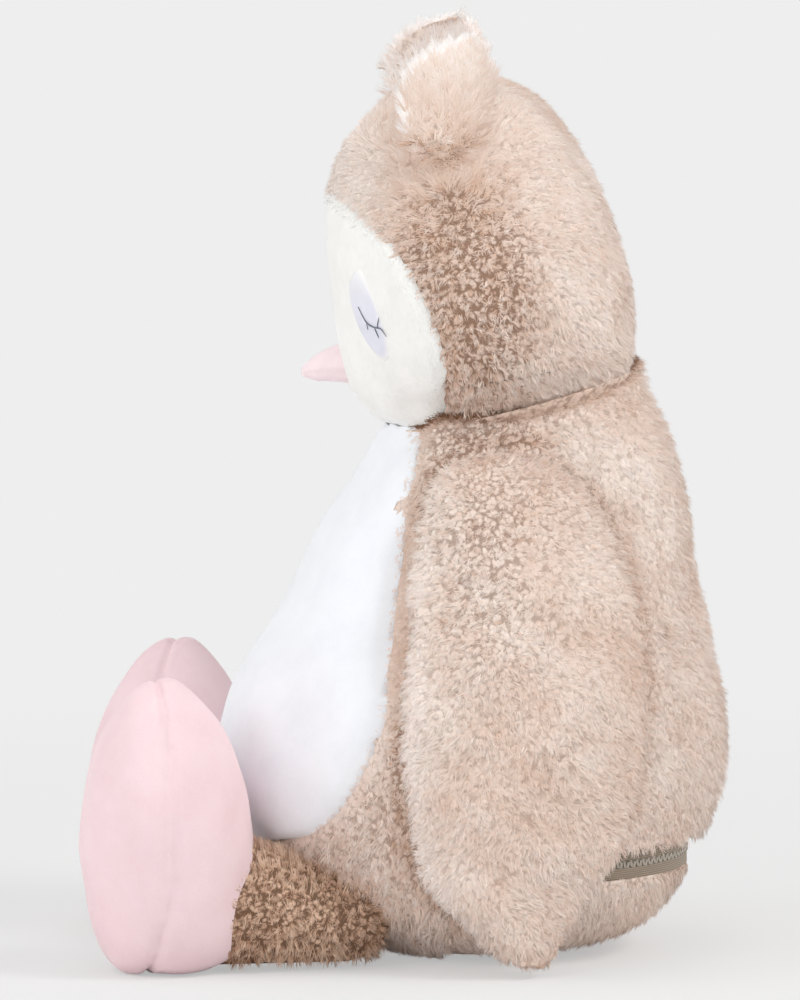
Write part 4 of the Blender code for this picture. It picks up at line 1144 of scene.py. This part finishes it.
def eye_patch(side):
    rings, around = 30, 72
    share = np.linspace(0.02, 1, rings)
    angle = 2 * math.pi * np.arange(around) / around
    a = np.outer(share, np.cos(angle)) * PATCH_W
    b = np.outer(share, np.sin(angle)) * PATCH_H
    crown = -0.9 * MM - 2.2 * MM * smooth_step(strip_reach(a / MM, b / MM), 0.80, 1.25)
    top = on_face(a.ravel(), b.ravel(), crown.ravel()).reshape(rings, around, 3)
    under = top - EYE_OUT * 1.6 * MM
    points = np.concatenate([top, under[::-1]])
    return Grid(points * (side, 1, 1))


def eye_strip(p):
    """1 on the open middle of a patch, falling to 0 where the face's pile covers it."""
    q = p * side_signs(p) - EYE
    a, b = q @ EYE_ACROSS / MM, q @ UP / MM
    return (1 - smooth_step(strip_reach(a, b), 0.78, 1.0)) * (1 - 0.5 * smooth_step(b, 2, 16))


# Each line's knots in mm over the left eye, and its radius in mm
LID_LINES = [
    (((-6.0, 2.9), (-1.4, -2.9), (3.3, -4.7), (7.7, -5.1), (10.6, -8.2)), 0.36),
    (((-1.2, -2.9), (-0.8, -6.2)), 0.22),
    (((3.9, -4.9), (5.7, -9.2)), 0.3),
    (((5.6, -4.9), (7.5, -0.4)), 0.26),
]


def eye_threads(side):
    flip = np.array((side, 1, 1))
    made = []
    for knots, radius in LID_LINES:
        share = np.linspace(0, 1, 16)
        a, b = through_rows(knots, 16).T * MM
        path = on_face(a, b, -0.65 * MM) * flip
        taper = radius * MM * np.sqrt(np.clip(np.sin(share * 2.6 + 0.35), 0.15, 1))
        made.append(thread_object("line", path, taper, EYE_OUT * flip))
    return made


for side, label in SIDES:
    patch = eye_patch(side)
    item = marked(grid_object(f"eye_satin_{label}", patch), eye_strip)
    dressed(item, satin.material, "head", "satin", f"eye_patch_{label}", fill=0.2)
    item = joined(f"eye_stitching_{label}", eye_threads(side))
    dressed(item, thread.material, "head", "thread", f"eyelash_{label}")

# Beak
def beak_grid():
    table = through_rows(BEAK_ROWS, 26)
    around = 44
    angle = 2 * math.pi * np.arange(around) / around
    points = np.empty((len(table), around, 3))
    seam = 1 - 0.13 * np.exp(-(((np.sin(angle) + 0.25) / 0.10) ** 2))
    for i, (y, drop, half_height, half_width) in enumerate(table):
        points[i, :, 0] = half_width * np.cos(angle) * seam
        points[i, :, 1] = y
        points[i, :, 2] = BEAK_Z + drop + half_height * np.sin(angle) * seam
    return Grid(points)


beak = beak_grid()
beak = beak.pushed(0.25 * MM * Waves(0.008, 71)(beak.p))
dressed(grid_object("beak_cloth", beak), beak_nap, "head", "pink_knit", "beak_upper", "beak_lower", fill=0.9)

# Ears
def ear_grid(side):
    points = leaf_grid(EAR_ROWS, 50, 48, EAR_CUP, outer_face=False, top_in=10 * MM, front_in=7 * MM,
                       back_in=2.5 * MM, face_in=2 * MM)
    points[..., 0] -= 7.0 * MM * (1 - smooth_step(points[..., 2], 0.329, 0.343))
    grid = Grid(points).turned(turn_z(EAR_TURN), EAR_ROOT)
    grid = grid.pushed(0.8 * MM * Waves(0.025, 81)(grid.p))
    return grid if side > 0 else grid.mirrored()


def ear_out(side):
    """The way that an ear's outer face looks."""
    return turn_z(EAR_TURN)[:, 0] * (side, 1, 1)


def ear_side(p, side):
    """Above 0 on an ear's outer face."""
    middle = read_rows(EAR_ROWS, p[:, 2], 3)[0] - EAR_CUP * 0.4 - EAR_ROOT[0]
    return (p - EAR_ROOT * (side, 1, 1)) @ ear_out(side) - middle


def ear_tone(p):
    low = 0.26 * smooth_step(p[:, 2], 0.332, 0.350)
    return 0.22 + low + 0.24 * smooth_step(p[:, 2], 0.350, 0.378) + tone_drift(p)


def ear_length(p):
    return (10.0 - 5.5 * smooth_step(p[:, 2], 0.356, 0.382)) * MM


def ear_curl(p):
    return 0.75 * (1 - smooth_step(p[:, 2], 0.334, 0.362)) + 0.1


def ear_comb(p):
    flow = np.zeros_like(p)
    flow[:, 2] = 1.0
    flow[:, 1] = (p[:, 1] - 0.017) / 0.03
    return flow


def make_ear(side, label):
    ear = ear_grid(side)
    body = f"ear_{label}"
    out = ear_out(side)

    def cloth_tone(p):
        """The outer face's tone, and a pale one on the lining."""
        lining = (ear_side(p, side) < 0) * smooth_step(p[:, 2], 0.346, 0.358)
        return ear_tone(p) + (0.97 - ear_tone(p)) * lining

    def on_outer(p, n):
        return (n @ out > 0.62) & (p[:, 2] > 0.331) & (p[:, 2] < 0.3835)

    def on_lining(p, n):
        return (n @ out < 0.62) & (n[:, 2] > -0.3) & (p[:, 2] > 0.346)

    item = marked(grid_object(f"ear_cloth_{label}", ear), cloth_tone)
    dressed(item, fur_backing, body, "ear_lining", f"ear_{label}_outer", f"ear_{label}_lining", fill=0.3)
    fur(f"ear_fur_{label}", ear, body, "fur", fur_blades, ear_comb, ear_tone, 35, lean=(52, 80), ruffle=0.2,
        sink=0.1 * MM, length=ear_length, curl=ear_curl, width=0.5 * MM, facing=on_outer)
    fur(f"ear_lining_fur_{label}", ear, body, "ear_lining", pale_blades, ear_comb, plain_tone(0.75), 36,
        length=6.0 * MM, lean=(60, 82), sink=0.1 * MM, facing=on_lining)


for side, label in SIDES:
    make_ear(side, label)


def ear_root(p):
    """How far a place on the head is from the foot of the nearer ear."""
    q = p * side_signs(p) - (0.068, 0.0175, 0.3335)
    return np.hypot(q[:, 1] / 0.011, q[:, 2] / 0.010) + np.where(np.abs(q[:, 0]) > 0.02, 9, 0)


def ear_root_comb(p):
    """Up, fanning out from the pinch."""
    return unit(p - PINCH * side_signs(p) + (0, 0, 0.01))


fur("ear_root_fur", head_skin, "head", "fur", fur_blades, ear_root_comb, lambda p: head_tone(p) - 0.16, 40,
    lambda p: ear_root(p) < 1.25, spacing=2.0 * MM, length=13.0 * MM, lean=(24, 58), curl=0.35, ruffle=0.25,
    width=0.5 * MM)

# Wings
def wing_grid(side):
    grid = Grid(leaf_grid(WING_ROWS, 110, 90, WING_CURL, outer_face=True, top_in=1.5 * MM, front_in=2.6 * MM,
                          back_in=2.6 * MM, face_in=2.4 * MM, bottom_in=2.5 * MM))
    grid = grid.pushed(1.1 * MM * Waves(0.04, 91)(grid.p))
    return grid if side > 0 else grid.mirrored()


def wing_share(p):
    """0 at a wing's front edge and 1 at its rear edge."""
    front, back = read_rows(WING_ROWS, p[:, 2], 1, 2)
    return (p[:, 1] - front) / (back - front)


def shoulder(p):
    """1 where the pile of the wing's upper front is curly."""
    return np.exp(-(((wing_share(p) - 0.32) / 0.24) ** 2 + ((p[:, 2] - 0.165) / 0.042) ** 2))


def wing_tone(p):
    fringe = np.exp(-(((wing_share(p) - 0.04) / 0.07) ** 2))
    return 0.52 + 0.46 * fringe + 0.24 * shoulder(p) + tone_drift(p)


def wing_shade(p):
    # Painted shade in the dents of the left wing's pile
    return np.clip((p[:, 0] > 0) * shaded_dents(p, WING_SHADED_DENTS), 0, 0.85)


def wing_lean(p):
    return lean_to((28, 62), shoulder(p))


def wing_curl(p):
    top = smooth_step(p[:, 2], 0.17, 0.19)
    return np.clip(0.20 + 0.42 * shoulder(p) + shaded_dents(p, WING_SHADED_DENTS) + 0.25 * top, 0, 1)


def wing_comb(p):
    """The pile lies down and towards the wing's rear edge."""
    flow = np.zeros_like(p)
    flow[:, 2] = -1.0
    flow[:, 1] = np.interp(wing_share(p), [0.0, 0.12, 0.35, 1.0], [-1.2, -0.6, 0.3, 0.6])
    return flow


def clear_of_torso(p):
    """Outside the torso's own fur."""
    front, back, half = read_rows(TORSO_ROWS, p[:, 2], 1, 2, 3)
    deep = np.where(p[:, 1] > TORSO_Y, back, front)
    return np.hypot(p[:, 0] / half, (p[:, 1] - TORSO_Y) / deep) > 0.98


def make_wing(side, label):
    wing = wing_grid(side)
    body = f"wing_{label}"

    def on_outer(p, n):
        """The outer face with its edges, and the middle of the inner face."""
        inner = (np.abs(wing_share(p) - 0.5) < 0.32) & (np.abs(p[:, 2] - 0.11) < 0.08)
        return (n[:, 0] * side > np.where(p[:, 2] > 0.17, 0.15, -0.3)) | inner

    item = marked(grid_object(f"wing_cloth_{label}", wing), wing_tone, wing_curl, wing_shade)
    dressed(item, fur_backing, body, "fur", f"wing_{label}_outer", f"wing_{label}_lining", fill=0.5)
    fur(f"wing_fur_{label}", wing, body, "fur", fur_blades, wing_comb, wing_tone, 37, clear_of_torso,
        lean=wing_lean, curl=wing_curl, shade=wing_shade, facing=on_outer)


for side, label in SIDES:
    make_wing(side, label)

# Legs and feet
def leg_points():
    sections = [(HIP_R * math.cos(a), HIP_R * math.sin(a), 0.0) for a in np.radians(np.linspace(8, 86, 12))]
    for share in np.linspace(0, 1, 26):
        radius = HIP_R + (LEG_R - HIP_R) * math.sin(share * math.pi / 2)
        sections.append((-LEG_REACH * share, radius, radius - HIP[2]))
    around = 60
    angle = 2 * math.pi * np.arange(around) / around
    points = np.empty((len(sections), around, 3))
    for i, (y, radius, middle) in enumerate(sections):
        points[i, :, 0] = radius * np.cos(angle)
        points[i, :, 1] = y
        points[i, :, 2] = np.maximum(middle + radius * np.sin(angle), -HIP[2] + 0.2 * MM)
    return points


def placed_leg(points, label, lean=0.0):
    """Moves points from the hip's own frame to the left or right hip."""
    side = 1 if label == "left" else -1
    if lean:
        heel = np.array((0, -FOOT_SEAM, -HIP[2]))
        points = (points - heel) @ turn_x(math.radians(-lean)).T + heel
    turned = points @ turn_z(math.radians(side * LEG_TURNS[label])).T
    return Grid(turned + HIP * (side, 1, 1))


LEG_PINCH = np.array((0.085, -0.012, 0.022))
foot_lumps = Waves(0.03, 101)
pucker = Waves(0.007, 102)


def leg_curl(p):
    return np.clip(1.0 - 0.6 * smooth_step(p[:, 2], 0.035, 0.055), 0, 1)


def make_leg(side, label):
    skin = placed_leg(leg_points(), label).pushed(-2.0 * MM)
    body = f"leg_{label}"
    back = turn_z(math.radians(side * LEG_TURNS[label]))

    def leg_comb(p):
        return unit(p - LEG_PINCH * (side, 1, 1)) + np.array((0, 0, -0.2))

    def leg_fur_area(p):
        local = (p - HIP * (side, 1, 1)) @ back
        return (p[:, 2] > 5.5 * MM) & (local[:, 1] < 0.012) & (local[:, 1] > -0.052)

    item = marked(grid_object(f"leg_cloth_{label}", skin), plain_tone(0.74), 1.0)
    dressed(item, dark_backing, body, "leg_fur", f"leg_{label}", fill=0.5)
    fur(f"leg_fur_{label}", skin, body, "leg_fur", dark_blades, leg_comb, plain_tone(0.80), 38, leg_fur_area,
        length=6.0 * MM, curl=leg_curl)


def make_foot(label):
    foot = Grid(oval_grid(FOOT_ROWS, 80, 96, -FOOT_SEAM, 2.0, -HIP[2]))
    above = foot.p[..., 2] + HIP[2]
    from_seam = (foot.p[..., 1] + FOOT_SEAM) / MM + 3 + 6 * (1 - smooth_step(above, 0, 0.045))
    groove = np.exp(-((from_seam / 1.5) ** 2))
    swell = 1 - np.exp(-((from_seam / 9.0) ** 2))
    puckers = pucker(foot.p) * np.exp(-((from_seam / 5.0) ** 2))
    foot = foot.pushed((-0.9 - 1.7 * groove + 1.0 * swell + 0.6 * foot_lumps(foot.p) + 0.35 * puckers) * MM)
    foot = placed_leg(foot.p, label, FOOT_LEANS[label])
    foot.p[..., 2] = np.maximum(foot.p[..., 2], 0.1 * MM)
    foot.refresh()
    item = grid_object(f"foot_cloth_{label}", foot)
    dressed(item, pink_nap, f"leg_{label}", "pink_knit", f"foot_sole_{label}", f"foot_instep_{label}", fill=0.9)


for side, label in SIDES:
    make_leg(side, label)
    make_foot(label)

# Neck seam
def neck_ring():
    side = np.array((1.0, 0, 0))
    other = np.cross(NECK_AXIS, side)
    rows, around = 10, 220
    points = np.empty((rows, around, 3))
    turn = 2 * math.pi * np.arange(around) / around
    out = np.outer(np.cos(turn), side) + np.outer(np.sin(turn), other)
    fold = 0.5 * MM * np.sin(turn * 47) + 0.3 * MM * np.sin(turn * 23 + 1)
    lifts = np.sin(np.linspace(0.2, math.pi - 0.2, rows))
    for i, (turn_down, lift) in enumerate(zip(np.radians(np.linspace(27.5, 41.5, rows)), lifts)):
        r = NECK_R + 0.8 * MM + 1.6 * MM * lift + fold * lift
        points[i] = NECK + (NECK_AXIS * math.cos(turn_down) + out * math.sin(turn_down)) * r[:, None]
    return points


ring = neck_ring()
inner = NECK + unit(ring - NECK) * (NECK_R + 0.55 * MM)
item = ring_object("neck_gather", np.concatenate([ring, inner[::-1]]), capped=False)
# Dark at the back as painted shade in the crease under the head, and pale under the chin
marked(item, lambda p: np.where(p[:, 1] < 0.004, 0.97, 0.35), 0.3)
dressed(item, fur_backing, "neck", "leg_fur", "neck_seam", fill=0.3)

# Zip
tape = Look("zip_tape", rough=0.8, sheen=0.15, specular=0.3)
height = tape.node("ShaderNodeSeparateXYZ", {"Vector": tape.place()}).outputs["Z"]
away = tape.sum("MULTIPLY", tape.sum("ABSOLUTE", tape.sum("SUBTRACT", height, ZIP_Z)), 100.0)
ribs = tape.node("ShaderNodeTexWave", {"Scale": 380, "Distortion": 0.6, "Vector": tape.place()},
                 wave_type="BANDS", bands_direction="Z").outputs["Fac"]
woven = tape.ramp(ribs, [(0.2, srgb(124, 110, 95)), (0.8, srgb(162, 147, 130))])
toothed = tape.ramp(away, [(0.13, (1, 1, 1, 1)), (0.16, (0, 0, 0, 1))])
tape.colour(tape.mix(toothed, woven, srgb(168, 158, 145)))
tape.bump(ribs, 0.4, 0.2 * MM)
metal = Look("zip_metal", rough=0.32, specular=0.5, metal=1.0)
metal.colour(metal.ramp(metal.noise(260, detail=3), [(0.3, srgb(140, 132, 122)), (0.7, srgb(186, 178, 166))]))
metal.bump(metal.noise(900, detail=2), 0.08, 0.1 * MM)
for node, look in (("zip_stringer_torso", tape), ("zip_stringer_base", tape), ("zip_stop", metal),
                   ("zip_slider", metal), ("zip_pull", metal)):
    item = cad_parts[node]
    item.data.materials.clear()
    item.data.materials.append(look.material)

# Stage
BACK_COLOUR = (0.855, 0.855, 0.855, 1)
FLOOR_REACH = 14.0
FLOOR_Z = -0.0004
corners = [(x * FLOOR_REACH, y * FLOOR_REACH, FLOOR_Z) for x, y in ((-1, -1), (1, -1), (1, 1), (-1, 1))]
floor_mesh = bpy.data.meshes.new("floor")
floor_mesh.from_pydata(corners, [], [(0, 1, 2, 3)])
floor = add_object("floor", floor_mesh)

# The camera sees the floor fade from its lit paint near the owl to the backdrop's colour
ground = Look("floor", rough=0.9, specular=0.1)
ground.put("Base Color", (0.80, 0.80, 0.80, 1))
glow = ground.node("ShaderNodeEmission", {"Color": BACK_COLOUR})
reach = ground.node("ShaderNodeVectorMath", {0: ground.place()}, operation="LENGTH").outputs["Value"]
fade = ground.node("ShaderNodeMapRange", {"Value": reach, "From Min": 0.30, "From Max": 0.95, "To Min": 0.50},
                   interpolation_type="SMOOTHSTEP").outputs["Result"]
seen = ground.sum("MULTIPLY", fade, ground.node("ShaderNodeLightPath").outputs["Is Camera Ray"])
ground.feed(ground.tree.nodes["Material Output"].inputs["Surface"], ground.blend(seen, ground.shader, glow))
floor_mesh.materials.append(ground.material)

# The backdrop's colour for rays that see it, and a weaker fill for the others
world = bpy.data.worlds.new("studio")
bpy.context.scene.world = world
world.use_nodes = True
studio = Nodes(world.node_tree)
studio.tree.nodes.clear()
fill_light = studio.node("ShaderNodeBackground", {"Color": (1.0, 1.0, 1.0, 1), "Strength": 0.22})
backdrop = studio.node("ShaderNodeBackground", {"Color": BACK_COLOUR})
rays = studio.node("ShaderNodeLightPath").outputs
direct = studio.sum("MAXIMUM", rays["Is Camera Ray"], rays["Is Glossy Ray"])
direct = studio.sum("MAXIMUM", direct, rays["Is Transmission Ray"])
studio.node("ShaderNodeOutputWorld", {"Surface": studio.blend(direct, fill_light, backdrop)})


def lamp(name, place, target, size, watts):
    data = bpy.data.lights.new(name, "AREA")
    data.shape = "DISK"
    data.size = size
    data.energy = watts
    data.cycles.use_multiple_importance_sampling = False
    item = bpy.data.objects.new(name, data)
    bpy.context.scene.collection.objects.link(item)
    item.location = place
    item.rotation_euler = (Vector(target) - Vector(place)).to_track_quat("-Z", "Y").to_euler()


def direction(turn, lift):
    return Vector((math.cos(lift) * math.cos(turn), math.cos(lift) * math.sin(turn), math.sin(lift)))


lamp("key", (0.9, 1.5, 1.9), (0, 0.03, 0.2), 0.9, 20)
lamp("front", (1.7, -1.3, 1.0), (0, 0, 0.18), 1.3, 8)
lamp("left", (0.5, -2.2, 0.9), (0, 0, 0.2), 1.6, 8.5)
for ring, (rise, count, watts) in enumerate(((8, 8, 4.6), (42, 6, 4.3), (75, 3, 4.3))):
    for i in range(count):
        turn = 2 * math.pi * (i + 0.5 * (ring % 2) + 0.25) / count
        lift = math.radians(rise)
        lamp(f"dome_{ring}_{i}", direction(turn, lift) * 2.5, (0, 0, 0.18), 1.6, watts)

# Camera
RISE = math.radians(6.5)
YAW = math.radians(2.25)
DISTANCE = 9.0
FRAME_HEIGHT = 0.4141
target = Vector((0.0, 0.0, 0.1863))
way = direction(-YAW, RISE)
camera_data = bpy.data.cameras.new("camera")
camera_data.sensor_width = 36.0
camera_data.lens = 36.0 * DISTANCE / FRAME_HEIGHT
camera = bpy.data.objects.new("camera", camera_data)
bpy.context.scene.collection.objects.link(camera)
camera.location = target + way * DISTANCE
camera.rotation_euler = (-way).to_track_quat("-Z", "Y").to_euler()
bpy.context.scene.camera = camera
bpy.context.scene.view_settings.view_transform = "Standard"
